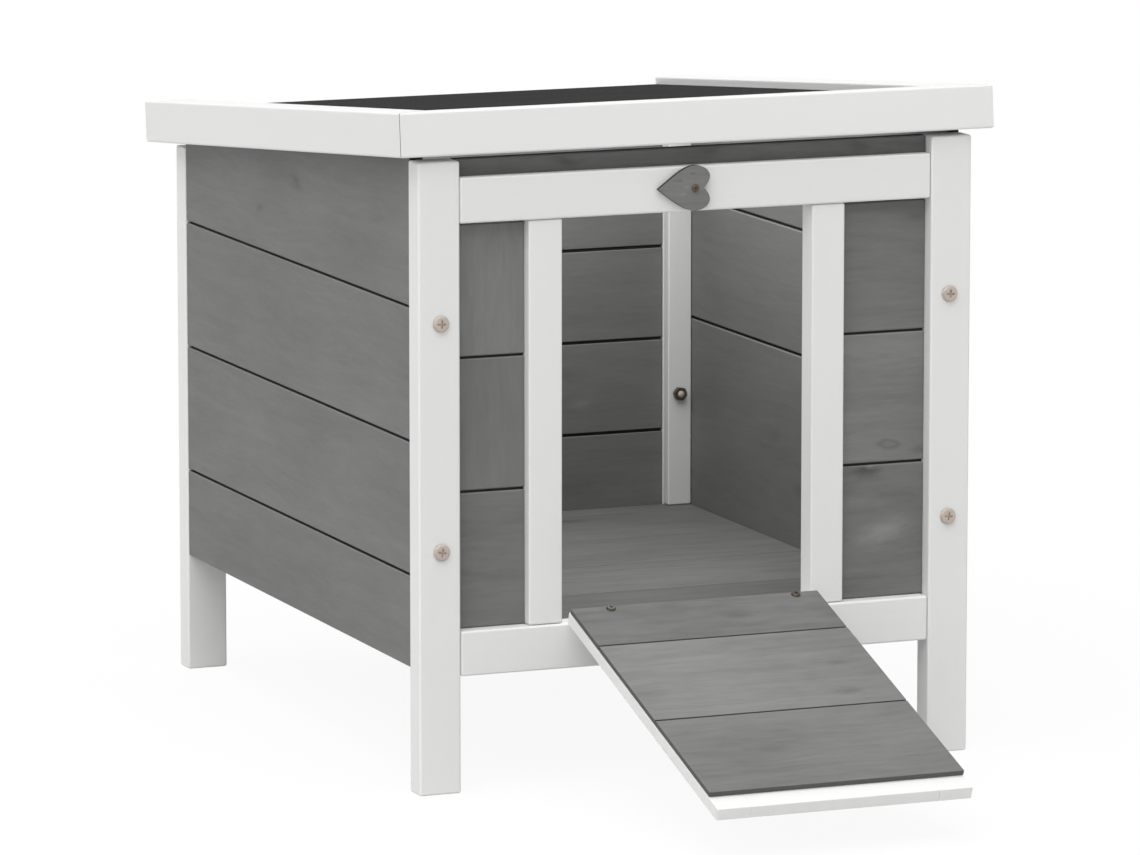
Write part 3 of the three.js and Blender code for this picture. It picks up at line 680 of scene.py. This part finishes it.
# The boards nearest the doorway are made darker than the rest: painted shade.
FLOOR_NEAR_SHADE_TONE = 0.72
FLOOR_NEAR_BOARDS = 2
FLOOR_CONTRAST = 1.4

low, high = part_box("floor_panel")
seams = []
seam = high.y - FLOOR_LEAST_WIDTH
while seam > low.y + FLOOR_LEAST_WIDTH:
    seams.insert(0, seam)
    seam -= FLOOR_BOARD_PITCH
starts = [low.y] + [seam + FLOOR_BOARD_GAP / 2 for seam in seams]
stops = [seam - FLOOR_BOARD_GAP / 2 for seam in seams] + [high.y]
for index, (near, far) in enumerate(zip(starts, stops)):
    name = f"floor_board_{index + 1}"
    board = squared_board((low.x, near, low.z), (high.x, far, high.z), FLOOR_BOARD_ROUND)
    marks = [FLOOR_MARK] if near < FLOOR_MARK[1] < far else []
    # Near boards darker: painted shade.
    light = FLOOR_NEAR_SHADE_TONE if index < FLOOR_NEAR_BOARDS else FLOOR_LIGHT
    stain = grey_stain(name, "XYZ", marks=marks, light=light, contrast=FLOOR_CONTRAST)
    piece(name, board, stain, "hutch", stands_for=["floor_panel"] if index == 0 else [])


# Bolts: nickel-plated pan heads with a cross recess outside the posts, and their hexagon nuts and
# rounded ends inside on the battens. Two hold each post.
SCREW_INPUTS = ("Head radius", "Head height", "Shank radius", "Shank length", "Shank end",
                "Recess length", "Recess width", "Recess depth")
NUT = {"Nut radius": 0.0052, "Nut height": 0.0036, "Nut start": 0.0288}
NUT_BARREL = (1.005, 1.3)
PAN_SHARE = 1.7
RECESS_TAPER = 0.35
SHANK_OVERLAP = 0.0002
SAME_POINT = 1e-6
FASTENER_SOFT_ANGLE = math.radians(35)
WASHER_STEP = 0.0003
BOLT_TURNS = (0.16, 0.05)
NICKEL = (0.56, 0.49, 0.44, 1)
NICKEL_DEEP = (0.46, 0.395, 0.35, 1)
NICKEL_ROUGHNESS = 0.62
NICKEL_METALLIC = 0.3
BRONZE = (0.30, 0.25, 0.205, 1)
BRONZE_DEEP = (0.16, 0.13, 0.105, 1)
BRONZE_ROUGHNESS = 0.4
PLATE_CLOUDS = (420, 420, 420)
PLATE_MARKS = (2600, 2600, 2600)
PLATE_ROUGHNESS = (-0.08, 0.1)
PLATE_MARK_DEPTH = 0.00002


def plated(name, bright, deep, roughness, metallic=1.0):
    """Plated steel: a little uneven in colour and gloss, with fine tumbling marks."""
    material, tree, shader = finish_tree(name, roughness, metallic)
    place = add(tree, "ShaderNodeTexCoord").outputs["Object"]
    cloud = noise(tree, place, PLATE_CLOUDS, detail=3.0)
    marks = noise(tree, place, PLATE_MARKS, detail=1.0)
    rough = carry_over(tree, cloud, 0.0, 1.0, *(roughness + step for step in PLATE_ROUGHNESS))
    coat(tree, shader, blend(tree, cloud, deep, bright), marks, PLATE_MARK_DEPTH, rough)
    return material


def new_fastener_tree(name, sizes):
    """A geometry tree with named sizes to fill in, a point for each fastener and its finish."""
    inputs = {"Geometry": "Geometry", **{size: "Float" for size in sizes}, "Finish": "Material"}
    return new_group(name, "GeometryNodeTree", inputs, {"Result": "Geometry"})


def unite(tree, operation, first, *others):
    """Joins solids into one, or cuts the others out of the first, or keeps what all share."""
    node = add(tree, "GeometryNodeMeshBoolean", operation=operation, solver="EXACT")
    tree.links.new(first, node.inputs["Mesh 1" if operation == "DIFFERENCE" else "Mesh 2"])
    for other in others:
        tree.links.new(other, node.inputs["Mesh 2"])
    return node.outputs["Mesh"]


def shift(tree, solid, **ways):
    """A solid moved, turned or scaled."""
    return add(tree, "GeometryNodeTransform", {"Geometry": solid, **ways}).outputs["Geometry"]


def ball(tree, segments, rings):
    """A ball with a radius of one metre, to be scaled."""
    return add(tree, "GeometryNodeMeshUVSphere", {"Segments": segments, "Rings": rings}).outputs[0]


def set_at_points(tree, given, solid):
    """Sets a solid on every given point, turned the way that the point says, and finishes it."""
    turn = add(tree, "GeometryNodeInputNamedAttribute", {"Name": "turn"}, data_type="FLOAT_VECTOR")
    spots = add(tree, "GeometryNodeInstanceOnPoints", {
        "Points": given["Geometry"], "Instance": solid, "Rotation": turn.outputs["Attribute"],
    })
    whole = add(tree, "GeometryNodeRealizeInstances", {"Geometry": spots.outputs["Instances"]})
    done = add(tree, "GeometryNodeSetMaterial", {
        "Geometry": whole.outputs["Geometry"], "Material": given["Finish"],
    })
    add(tree, "NodeGroupOutput", {"Result": done.outputs["Geometry"]})


def screw_tree():
    """A pan-headed screw or bolt: a domed head with a cross recess, and its shank. Its head stands
    up from the wood and the shank goes down into it."""
    tree, size, sockets = new_fastener_tree("cross-headed screw", SCREW_INPUTS)
    place = split(tree, add(tree, "GeometryNodeInputPosition").outputs["Position"])
    raised = calculate(tree, "MAXIMUM", place["Z"], 0.0)
    lifted = calculate(tree, "MINIMUM", times(tree, raised, PAN_SHARE), 1.0)
    flat = vector_of(tree, place["X"], place["Y"], lifted)
    spread = vector_of(tree, size["Head radius"], size["Head radius"], size["Head height"])
    dome = add(tree, "GeometryNodeSetPosition", {
        "Geometry": ball(tree, 32, 16), "Position": reckon(tree, "MULTIPLY", flat, spread),
    })
    dome = add(tree, "GeometryNodeMergeByDistance", {
        "Geometry": dome.outputs["Geometry"], "Distance": SAME_POINT,
    })
    bar = add(tree, "GeometryNodeMeshCylinder", {
        "Vertices": 20, "Radius": size["Shank radius"],
        "Depth": calculate(tree, "ADD", size["Shank length"], 2 * SHANK_OVERLAP),
    })
    half = calculate(tree, "MULTIPLY_ADD", size["Shank length"], -0.5, SHANK_OVERLAP)
    shank = shift(tree, bar.outputs["Mesh"], Translation=vector_of(tree, z=half))
    stop = times(tree, size["Shank length"], -1.0)
    round_end = vector_of(tree, size["Shank radius"], size["Shank radius"], size["Shank end"])
    tip = shift(tree, ball(tree, 20, 12), Scale=round_end, Translation=vector_of(tree, z=stop))
    depth = times(tree, size["Recess depth"], 2.0)
    slot = add(tree, "GeometryNodeMeshCube", {
        "Size": vector_of(tree, size["Recess length"], size["Recess width"], depth),
    })
    is_low = calculate(tree, "LESS_THAN", place["Z"], 0.0)
    narrow = calculate(tree, "MULTIPLY_ADD", is_low, -RECESS_TAPER, 1.0)
    across = [times(tree, place[axis], narrow) for axis in "XY"]
    shaped = add(tree, "GeometryNodeSetPosition", {
        "Geometry": slot.outputs["Mesh"], "Position": vector_of(tree, *across, place["Z"]),
    }).outputs["Geometry"]
    top = vector_of(tree, z=size["Head height"])
    slots = [shift(tree, shaped, Rotation=(0, 0, turn), Translation=top) for turn in (0, math.pi / 2)]
    solid = unite(tree, "UNION", dome.outputs["Geometry"], shank, tip)
    set_at_points(tree, size, unite(tree, "DIFFERENCE", solid, *slots))
    return tree, sockets


def nut_tree():
    """A hexagon nut with its corners turned down at both faces."""
    tree, size, sockets = new_fastener_tree("hexagon nut", NUT)
    block = add(tree, "GeometryNodeMeshCylinder", {
        "Vertices": 6, "Radius": size["Nut radius"], "Depth": size["Nut height"],
    })
    wide, tall = (times(tree, size[name], share)
                  for name, share in zip(("Nut radius", "Nut height"), NUT_BARREL))
    barrel = shift(tree, ball(tree, 48, 24), Scale=vector_of(tree, wide, wide, tall))
    turned = unite(tree, "INTERSECT", block.outputs["Mesh"], barrel)
    middle = calculate(tree, "MULTIPLY_ADD", size["Nut height"], 0.5, size["Nut start"])
    down = times(tree, middle, -1.0)
    set_at_points(tree, size, shift(tree, turned, Translation=vector_of(tree, z=down)))
    return tree, sockets


def screw_sizes(head, shank, recess):
    """A screw's sizes by the names of its tree's inputs: its head's radius and height, its shank's
    radius, length and rounded end, and its recess's length, width and depth."""
    return dict(zip(SCREW_INPUTS, (*head, *shank, *recess)))


def fasten(name, tree_and_sockets, spots, sizes, material, body, stands_for=()):
    """Sets one fastener at each spot, a place with a turn, and makes them one plain mesh."""
    tree, sockets = tree_and_sockets
    mesh = bpy.data.meshes.new(f"{name}_spots")
    mesh.from_pydata([place for place, turn in spots], [], [])
    turns = mesh.attributes.new("turn", "FLOAT_VECTOR", "POINT")
    turns.data.foreach_set("vector", [angle for place, turn in spots for angle in turn])
    made = new_object(name, mesh)
    grow = made.modifiers.new("fasteners", "NODES")
    grow.node_group = tree
    for socket, value in (*sizes.items(), ("Finish", material)):
        grow[sockets[socket].identifier] = value
    ready = made.evaluated_get(bpy.context.evaluated_depsgraph_get())
    plain = bpy.data.meshes.new_from_object(ready)
    made.modifiers.remove(grow)
    made.data = plain
    plain.name = name
    bpy.data.meshes.remove(mesh)
    soften(plain, FASTENER_SOFT_ANGLE)
    hand_over(made, body, stands_for)


screw = screw_tree()
nut = nut_tree()
bolt = screw_sizes((0.0056, 0.0022), (0.0025, 0.0327, 0.0016), (0.007, 0.0016, 0.0013))
nickel = plated("tumbled nickel plate", NICKEL, NICKEL_DEEP, NICKEL_ROUGHNESS, NICKEL_METALLIC)
bronze = plated("bronzed steel", BRONZE, BRONZE_DEEP, BRONZE_ROUGHNESS)
outward = {"front": math.radians(90), "back": math.radians(-90)}
bolt_spots = []
bolt_nodes = []
for end, side in CORNERS:
    low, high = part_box(f"{end}_{side}_post")
    face = low.y - WASHER_STEP if end == "front" else high.y + WASHER_STEP
    for (x, z), turn in zip(bolt_centres(end, side), BOLT_TURNS):
        bolt_spots.append(((x, face, z), (outward[end], turn, 0)))
    bolt_nodes += [f"{end}_{side}_lower_bolt", f"{end}_{side}_upper_bolt"]
fasten("post_bolts", screw, bolt_spots, bolt, nickel, "hutch", bolt_nodes)
fasten("bolt_nuts", nut, bolt_spots, NUT, bronze, "hutch")


# Ramp: three thin grey boards on a white frame of four bars, butted at the corners and glued. The
# frame turns on two hinges at the sill, and two small screws hold the first board.
RAMP_SLOPE = 18.2
RAMP_BAR_ROUND = 0.0007
RAMP_PLANK_ROUND = 0.0005
RAMP_FOOT = 0.0014
RAMP_LENGTH = 0.261
RAMP_BAR_WIDTH = 0.023
RAMP_JOINT_GAP = 0.0001
RAMP_UNDERSIDE = 0.0029
RAMP_FRAME_THICKNESS = 0.0083
RAMP_BOARD_LIFT = 0.0003
RAMP_BOARD_THICKNESS = 0.0035
RAMP_BOARD_INSET = 0.0023
RAMP_BOARD_END_INSET = 0.0151
RAMP_BOARD_GAP = 0.0015
RAMP_BOARD_SHARES = (0.209, 0.408, 0.383)
RAMP_TONGUE = (0.0015, 0.0011)
# The ramp boards' sawn edges and tongues: stain soaked in, and painted shade in the seams.
RAMP_RIM = (0.078, 0.078, 0.076, 1)
RAMP_SCREW = screw_sizes((0.0031, 0.0015), (0.0012, 0.009, 0.0012), (0.0038, 0.001, 0.001))
RAMP_SCREW_DROP = 0.004
RAMP_SCREW_INSETS = (0.0268, 0.0172)
RAMP_SCREW_TURNS = (0, 0.6)
SAME_PLANE = 1e-5
SCREW_METAL = (0.15, 0.13, 0.115, 1)
SCREW_METAL_DEEP = (0.07, 0.06, 0.05, 1)
SCREW_ROUGHNESS = 0.45
RAMP_BOARDS = (
    (0.74, 1.7, [(0.012, 0.028, 0.0052, -0.1, 0.0, 0.42), (-0.027, 0.013, 0.0028, 0.1, 0.0, 0.35)]),
    (0.955, 1.6, [(0.048, 0.1365, 0.0042, 0.1, 0.0, 0.5), (0.055, 0.099, 0.0028, 0.0, 0.0, 0.4),
                  (0.085, 0.111, 0.003, 0.3, 0.0, 0.35)]),
    (0.86, 1.6, [(-0.034, 0.2, 0.005, 0.05, 0.0, 0.3)]),
)

joint_at = {joint["name"]: Vector(joint["pos_m"]) for joint in frame["joints"]}
pin = joint_at["ramp_hinge"]
ramp_pin = Matrix.Translation((0, pin.y, pin.z))
ramp_lay = ramp_pin @ tilt(90 + RAMP_SLOPE)
ramp_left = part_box("ramp_left_bar")[0].x
ramp_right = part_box("ramp_right_bar")[1].x
ramp_head = RAMP_FOOT + RAMP_LENGTH
joint_left = ramp_left + RAMP_BAR_WIDTH
joint_right = ramp_right - RAMP_BAR_WIDTH
cross_left = joint_left + RAMP_JOINT_GAP
cross_right = joint_right - RAMP_JOINT_GAP
side_paint = white_paint("ZXY", ramp_lay, "ramp paint")
cross_paint = white_paint("XYZ", ramp_lay, "ramp paint")
bars = (
    ("ramp_left_bar", ramp_left, joint_left, RAMP_FOOT, ramp_head, side_paint),
    ("ramp_right_bar", joint_right, ramp_right, RAMP_FOOT, ramp_head, side_paint),
    ("ramp_hinge_bar", cross_left, cross_right, RAMP_FOOT, RAMP_FOOT + RAMP_BAR_WIDTH, cross_paint),
    ("ramp_end_bar", cross_left, cross_right, ramp_head - RAMP_BAR_WIDTH, ramp_head, cross_paint),
)


def upright_plane(x):
    """Tells whether a point lies in the upright plane at that width."""
    return lambda point: abs(point.x - x) < SAME_PLANE


frame_top = RAMP_UNDERSIDE + RAMP_FRAME_THICKNESS
butts = [upright_plane(x) for x in (joint_left, joint_right, cross_left, cross_right)]
for node, left, right, foot, head, material in bars:
    outline = rectangle((left, RAMP_UNDERSIDE), (right, frame_top))
    bar = round_over(saw(outline, foot, head), RAMP_BAR_ROUND, butts)
    piece(f"{node}_wood", bar, material, "ramp", ramp_lay, [node])

board_bottom = frame_top + RAMP_BOARD_LIFT
board_top = board_bottom + RAMP_BOARD_THICKNESS
within = [lambda point: board_bottom + SAME_PLANE < point.x < board_top - SAME_PLANE]
planked = RAMP_LENGTH - RAMP_BOARD_INSET - RAMP_BOARD_END_INSET - 2 * RAMP_BOARD_GAP
foot = RAMP_FOOT + RAMP_BOARD_INSET
for row, (share, (light, contrast, marks)) in enumerate(zip(RAMP_BOARD_SHARES, RAMP_BOARDS), 1):
    head = foot + share * planked
    is_last = row == len(RAMP_BOARDS)
    end = tongued_end(foot, head, board_bottom, board_top, not is_last, row > 1, RAMP_TONGUE)
    board = round_over(saw(end, ramp_left, ramp_right), RAMP_PLANK_ROUND, within)
    name = f"ramp_board_{row}"
    stain = grey_stain(name, "XZY", ramp_lay, marks, light, contrast, RAMP_RIM,
                       None if is_last else head)
    piece(name, board, stain, "ramp", ramp_lay @ lengthwise, [f"ramp_plank_{row}"])
    foot = head + RAMP_BOARD_GAP

screw_foot = RAMP_FOOT + RAMP_BOARD_INSET + RAMP_SCREW_DROP
screw_sides = (ramp_left + RAMP_SCREW_INSETS[0], ramp_right - RAMP_SCREW_INSETS[1])
screw_spots = []
for x, turn in zip(screw_sides, RAMP_SCREW_TURNS):
    way = (ramp_lay @ tilt(-90) @ Matrix.Rotation(turn, 4, "Z")).to_euler()
    screw_spots.append((ramp_lay @ Vector((x, board_top, screw_foot)), way))
dull = plated("dull steel", SCREW_METAL, SCREW_METAL_DEEP, SCREW_ROUGHNESS)
fasten("ramp_board_screws", screw, screw_spots, RAMP_SCREW, dull, "ramp")


# Roof: a white rail in front and one each side, mitred at the front corners, a lower rail behind,
# and between them a deck with black felt laid on it. The whole roof lifts on its two hinges.
ROOF_PITCH = 5.5
ROOF_ROUND = 0.0015
ROOF_WIDTH = 0.420
ROOF_LENGTH = 0.509998
ROOF_FRONT_HEIGHT = 0.421
ROOF_FRONT_OVERHANG = 0.0055
ROOF_RAIL_WIDTH = 0.030
ROOF_RAIL_HEIGHT = 0.029
ROOF_BACK_RAIL_GAP = 0.0003
MITRE_GAP = 0.0009
# Colour of the mitre faces: bare wood, with painted shade of the joint.
MITRE_SHADE = (0.09, 0.085, 0.08, 1)
DECK_TOP = 0.022
FELT_DARK = (0.0125, 0.0125, 0.0125, 1)
FELT_LIGHT = (0.03, 0.03, 0.03, 1)
FELT_GLOSS = 0.1
FELT_RELIEF = 0.0004
FELT_LINES = (14, 700, 700)
FELT_GRIT = (1900, 1900, 1900)
FELT_CLOUDS = (12, 26, 26)
FELT_TONES = (0.36, 0.64)

roof_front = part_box("front_left_post")[0].y - ROOF_FRONT_OVERHANG
roof_corner = Matrix.Translation((-ROOF_WIDTH / 2, roof_front, ROOF_FRONT_HEIGHT))
roof_lay = roof_corner @ tilt(-ROOF_PITCH)
roof_level_paint = white_paint("XYZ", roof_lay, "roof paint", MITRE_SHADE)
roof_side_paint = white_paint("YZX", roof_lay, "roof paint", MITRE_SHADE)


def mitre_plane(corner, way, back):
    """Tells whether a point lies in the slanting plane of a mitre at a front corner of the roof. way
    is 1 at the left corner and -1 at the right one, and back how far behind the corner it starts."""
    return lambda point: abs((point.x - corner) * way - (point.y - back)) < SAME_PLANE


wide, bar, gap, length = ROOF_WIDTH, ROOF_RAIL_WIDTH, MITRE_GAP, ROOF_LENGTH
back_left = (bar + ROOF_BACK_RAIL_GAP, length - bar)
back_right = (wide - bar - ROOF_BACK_RAIL_GAP, length)
front = [(0, 0), (wide, 0), (wide - bar, bar), (bar, bar)]
left = [(0, gap), (bar, bar + gap), (bar, length), (0, length)]
right = [(wide, gap), (wide, length), (wide - bar, length), (wide - bar, bar + gap)]
rails = (
    ("roof_front_rail", front, ROOF_RAIL_HEIGHT, roof_level_paint),
    ("roof_left_rail", left, ROOF_RAIL_HEIGHT, roof_side_paint),
    ("roof_right_rail", right, ROOF_RAIL_HEIGHT, roof_side_paint),
    ("roof_back_rail", rectangle(back_left, back_right), DECK_TOP, roof_level_paint),
)
mitres = [mitre_plane(corner, way, back) for corner, way in ((0, 1), (wide, -1)) for back in (0, gap)]
for node, outline, height, material in rails:
    rail = round_over(saw(outline, 0, height), ROOF_ROUND, mitres)
    piece(f"{node}_wood", rail, material, "roof", roof_lay, [node])

give_finish("roof_deck", grey_stain("roof_deck", "XYZ", roof_lay))


def felt(name, lay):
    """Roofing felt: black bitumen with a fine mineral face, rolled, so its marks run crosswise."""
    material, tree, shader = finish_tree(name, 1.0)
    shader.inputs["Specular IOR Level"].default_value = FELT_GLOSS
    place = wood_axes(tree, "XYZ", lay)[0]
    lines = noise(tree, place, FELT_LINES, detail=3.0)
    grit = noise(tree, place, FELT_GRIT)
    clouds = noise(tree, place, FELT_CLOUDS)
    share = carry_over(tree, weigh(tree, (lines, 0.5), (grit, 0.3), (clouds, 0.2)), *FELT_TONES)
    colour = blend(tree, share, FELT_DARK, FELT_LIGHT)
    coat(tree, shader, colour, weigh(tree, (lines, 0.5), (grit, 1.0)), FELT_RELIEF)
    return material


give_finish("roof_felt", felt("roofing felt", roof_lay))


# Hinges: pressed zinc-plated leaves that roll round a pin, two under the ramp's foot on the sill and
# two under the roof's back edge. Each leaf is held by two flat-headed screws.
ZINC = (0.62, 0.62, 0.63, 1)
ZINC_DEEP = (0.48, 0.48, 0.49, 1)
ZINC_ROUGHNESS = 0.38
LEAF_FACE = 0.0014
RAMP_LEAF_SCREWS = (0.0065, 0.0102)
ROOF_LEAF_SCREWS = (0.0125, 0.0112)
LEAF_SCREW = screw_sizes((0.0024, 0.0005), (0.0013, 0.0078, 0.001), (0.0031, 0.0008, 0.0012))

zinc = plated("zinc plate", ZINC, ZINC_DEEP, ZINC_ROUGHNESS)
for node in frame["nodes"]:
    if node.endswith("_leaf"):
        give_finish(node, zinc)


def leaf_spots(kind, leaf, lay, reach_way, outward, spacing):
    """Where the two screws of each leaf go. lay puts the pin's middle in place, reach_way points from
    the pin over the leaf, and outward turns a screw to face away from the wood."""
    apart, reach = spacing
    face = outward @ Vector((0, 0, LEAF_FACE))
    turn = (lay @ outward).to_euler()
    spots = []
    for side in ("left", "right"):
        middle = middle_of(f"{kind}_{side}_hinge_{leaf}_leaf").x
        for x in (middle - apart, middle + apart):
            spots.append((lay @ (Vector((x, 0, 0)) + Vector(reach_way) * reach - face), turn))
    return spots


toward_front, toward_back, downward = tilt(90), tilt(-90), tilt(180)
roof_pin = Matrix.Translation((0, joint_at["roof_hinge"].y, joint_at["roof_hinge"].z))
roof_turned = roof_pin @ tilt(-ROOF_PITCH)
fixed_spots = leaf_spots("ramp", "fixed", ramp_pin, (0, 0, -1), toward_front, RAMP_LEAF_SCREWS)
fixed_spots += leaf_spots("roof", "fixed", roof_pin, (0, 0, -1), toward_back, ROOF_LEAF_SCREWS)
ramp_spots = leaf_spots("ramp", "moving", ramp_lay, (0, 0, 1), toward_front, RAMP_LEAF_SCREWS)
roof_spots = leaf_spots("roof", "moving", roof_turned, (0, 1, 0), downward, ROOF_LEAF_SCREWS)
for body, spots in (("hutch", fixed_spots), ("ramp", ramp_spots), ("roof", roof_spots)):
    fasten(f"{body}_leaf_screws", screw, spots, LEAF_SCREW, nickel, body)


# Heart: a turn button sawn from 4 mm board and stained grey, on one brown screw through its lobes.
# Turned tip down it holds the ramp shut.
BUTTON_TIP = 0.026
BUTTON_BACK = 0.0106
BUTTON_HALF = 0.015
BUTTON_NOTCH = 0.0065
BUTTON_NOTCH_LEAD = 0.00835
BUTTON_THICKNESS = 0.004
BUTTON_ROUND = 0.0003
BUTTON_STEPS = 14
BUTTON_LIGHT = 1.02
BUTTON_CONTRAST = 2.2
BUTTON_RIM = (0.032, 0.032, 0.031, 1)
BUTTON_STREAKS = (
    (-0.011, 0.0055, 0.0009, 0.0, 0.0, 0.4), (-0.002, 0.0095, 0.0008, 0.05, 0.0, 0.4),
    (-0.006, 0.001, 0.0009, 0.0, 0.0, -0.3), (-0.008, -0.0035, 0.001, -0.05, 0.0, -0.25),
)
BUTTON_SCREW = screw_sizes((0.0026, 0.0008), (0.0014, 0.0108, 0.0012), (0.0028, 0.0007, 0.0006))
BUTTON_SCREW_TURN = 0.2
BROWN = (0.17, 0.118, 0.08, 1)
BROWN_DEEP = (0.09, 0.062, 0.042, 1)
BROWN_ROUGHNESS = 0.6
BROWN_METALLIC = 0.5

tip, widest = (-BUTTON_TIP, 0), (0, -BUTTON_HALF)
lobe, notch = (BUTTON_BACK, -0.5 * BUTTON_HALF), (BUTTON_NOTCH, 0)
curves = (
    (tip, (-0.57 * BUTTON_TIP, -0.56 * BUTTON_HALF), (-0.27 * BUTTON_TIP, -BUTTON_HALF), widest),
    (widest, (0.52 * BUTTON_BACK, -BUTTON_HALF), (BUTTON_BACK, -0.78 * BUTTON_HALF), lobe),
    (lobe, (BUTTON_BACK, -0.31 * BUTTON_HALF), (BUTTON_NOTCH_LEAD, -0.15 * BUTTON_HALF), notch),
)
lower = []
for curve in curves:
    points = interpolate_bezier(*(Vector((x, z, 0)) for x, z in curve), BUTTON_STEPS)
    lower += [(point.x, point.y) for point in points[:-1]]
outline = lower + [notch] + [(x, -z) for x, z in reversed(lower[1:])]
middle = joint_at["latch_turn"]
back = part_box("heart_latch")[1].y
upright = Matrix(((1, 0, 0, middle.x), (0, 0, -1, back), (0, 1, 0, middle.z), (0, 0, 0, 1)))
heart = round_over(saw(outline, 0, BUTTON_THICKNESS), BUTTON_ROUND)
bmesh.ops.transform(heart, matrix=upright, verts=heart.verts)
heart = drill(heart, [(middle.x, middle.z)], SCREW_DRILL_RADIUS)
marks = [(middle.x + along, middle.z + across, *look) for along, across, *look in BUTTON_STREAKS]
stain = grey_stain("heart", "XZY", marks=marks, light=BUTTON_LIGHT, contrast=BUTTON_CONTRAST,
                   rim=BUTTON_RIM)
piece("heart_button", heart, stain, "latch", stands_for=["heart_latch"])

head_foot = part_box("heart_screw")[0].y + BUTTON_SCREW["Head height"]
brown = plated("browned steel", BROWN, BROWN_DEEP, BROWN_ROUGHNESS, BROWN_METALLIC)
spots = [((middle.x, head_foot, middle.z), (outward["front"], BUTTON_SCREW_TURN, 0))]
fasten("heart_button_screw", screw, spots, BUTTON_SCREW, brown, "hutch",
       ["heart_screw"])


# Studio: a plain pale floor that runs out of sight, soft light from all round with more from above,
# a fill from the camera's side and one under the roof, and the camera where the photograph was taken.
CAMERA_AT = (-1.88738, -4.55733, 1.03128)
CAMERA_YAW = math.radians(22.0631)
CAMERA_DROP = math.radians(9.4212)
CAMERA_LENS = 234.67
CAMERA_REACH = 200
SENSOR_WIDTH = 36
WHITE = (1, 1, 1, 1)
FLOOR_HALF = 30
FLOOR_COLOUR = (0.66, 0.66, 0.66, 1)
FLOOR_SEEN_COLOUR = (0.85, 0.85, 0.85, 1)
FLOOR_ROUGHNESS = 0.9
FLOOR_WHITE_SHARE = 0.93
SKY_STRENGTH = 0.4
SUNS = (
    ("softbox above", 2.5, math.radians(70), (-0.26, -0.25, 0.93)),
    ("fill from the front", 0.64, math.radians(80), (-0.7, -0.66, 0.28)),
)
INNER_POWER = 1.15
INNER_DROP = 0.008
INNER_FRONT = 0.08
INNER_BACK = 0.455
INNER_SIDE = 0.035


def seen_directly(tree):
    """1 for what the camera sees straight, in a mirror or through glass, and 0 for what lights."""
    path = add(tree, "ShaderNodeLightPath")
    direct = calculate(tree, "MAXIMUM", path.outputs["Is Camera Ray"], path.outputs["Is Glossy Ray"])
    return calculate(tree, "MAXIMUM", direct, path.outputs["Is Transmission Ray"])


world = bpy.data.worlds.new("studio")
world.use_nodes = True
bpy.context.scene.world = world
tree = world.node_tree
sky = tree.nodes["Background"]
sky.inputs["Color"].default_value = WHITE
feed(tree, sky.inputs["Strength"], carry_over(tree, seen_directly(tree), 0.0, 1.0, SKY_STRENGTH, 1.0))

material, tree, shader = finish_tree("studio floor", FLOOR_ROUGHNESS)
direct = seen_directly(tree)
feed(tree, shader.inputs["Base Color"], blend(tree, direct, FLOOR_COLOUR, FLOOR_SEEN_COLOUR))
shader.inputs["Specular IOR Level"].default_value = 0.0
glow = add(tree, "ShaderNodeEmission", {"Color": WHITE, "Strength": 1.0})
share = times(tree, direct, FLOOR_WHITE_SHARE)
both = add(tree, "ShaderNodeMixShader", {0: share, 1: shader.outputs[0], 2: glow.outputs[0]})
feed(tree, tree.nodes["Material Output"].inputs["Surface"], both.outputs[0])
mesh = bpy.data.meshes.new("studio_floor")
corners = rectangle((-FLOOR_HALF, -FLOOR_HALF), (FLOOR_HALF, FLOOR_HALF))
mesh.from_pydata([(x, y, 0) for x, y in corners], [], [(0, 1, 2, 3)])
mesh.materials.append(material)
new_object("studio_floor", mesh)

for name, strength, spread, lean in SUNS:
    lamp = bpy.data.lights.new(name, "SUN")
    lamp.energy = strength
    lamp.angle = spread
    new_object(name, lamp).rotation_euler = Vector(lean).to_track_quat("Z", "Y").to_euler()

lamp = bpy.data.lights.new("fill under the roof", "AREA")
lamp.energy = INNER_POWER
lamp.shape = "RECTANGLE"
lamp.size = ROOF_WIDTH - 2 * INNER_SIDE
lamp.size_y = INNER_BACK - INNER_FRONT
inner = new_object("fill under the roof", lamp)
inner_middle = (ROOF_WIDTH / 2, (INNER_FRONT + INNER_BACK) / 2, INNER_DROP)
inner.matrix_world = roof_lay @ Matrix.Translation(inner_middle)
inner.visible_camera = False

lens = bpy.data.cameras.new("camera")
lens.sensor_width = SENSOR_WIDTH
lens.lens = CAMERA_LENS
lens.clip_end = CAMERA_REACH
camera = new_object("camera", lens)
camera.location = CAMERA_AT
camera.rotation_euler = Euler((math.pi / 2 - CAMERA_DROP, 0, -CAMERA_YAW))
bpy.context.scene.camera = camera
bpy.context.scene.view_settings.view_transform = "Standard"
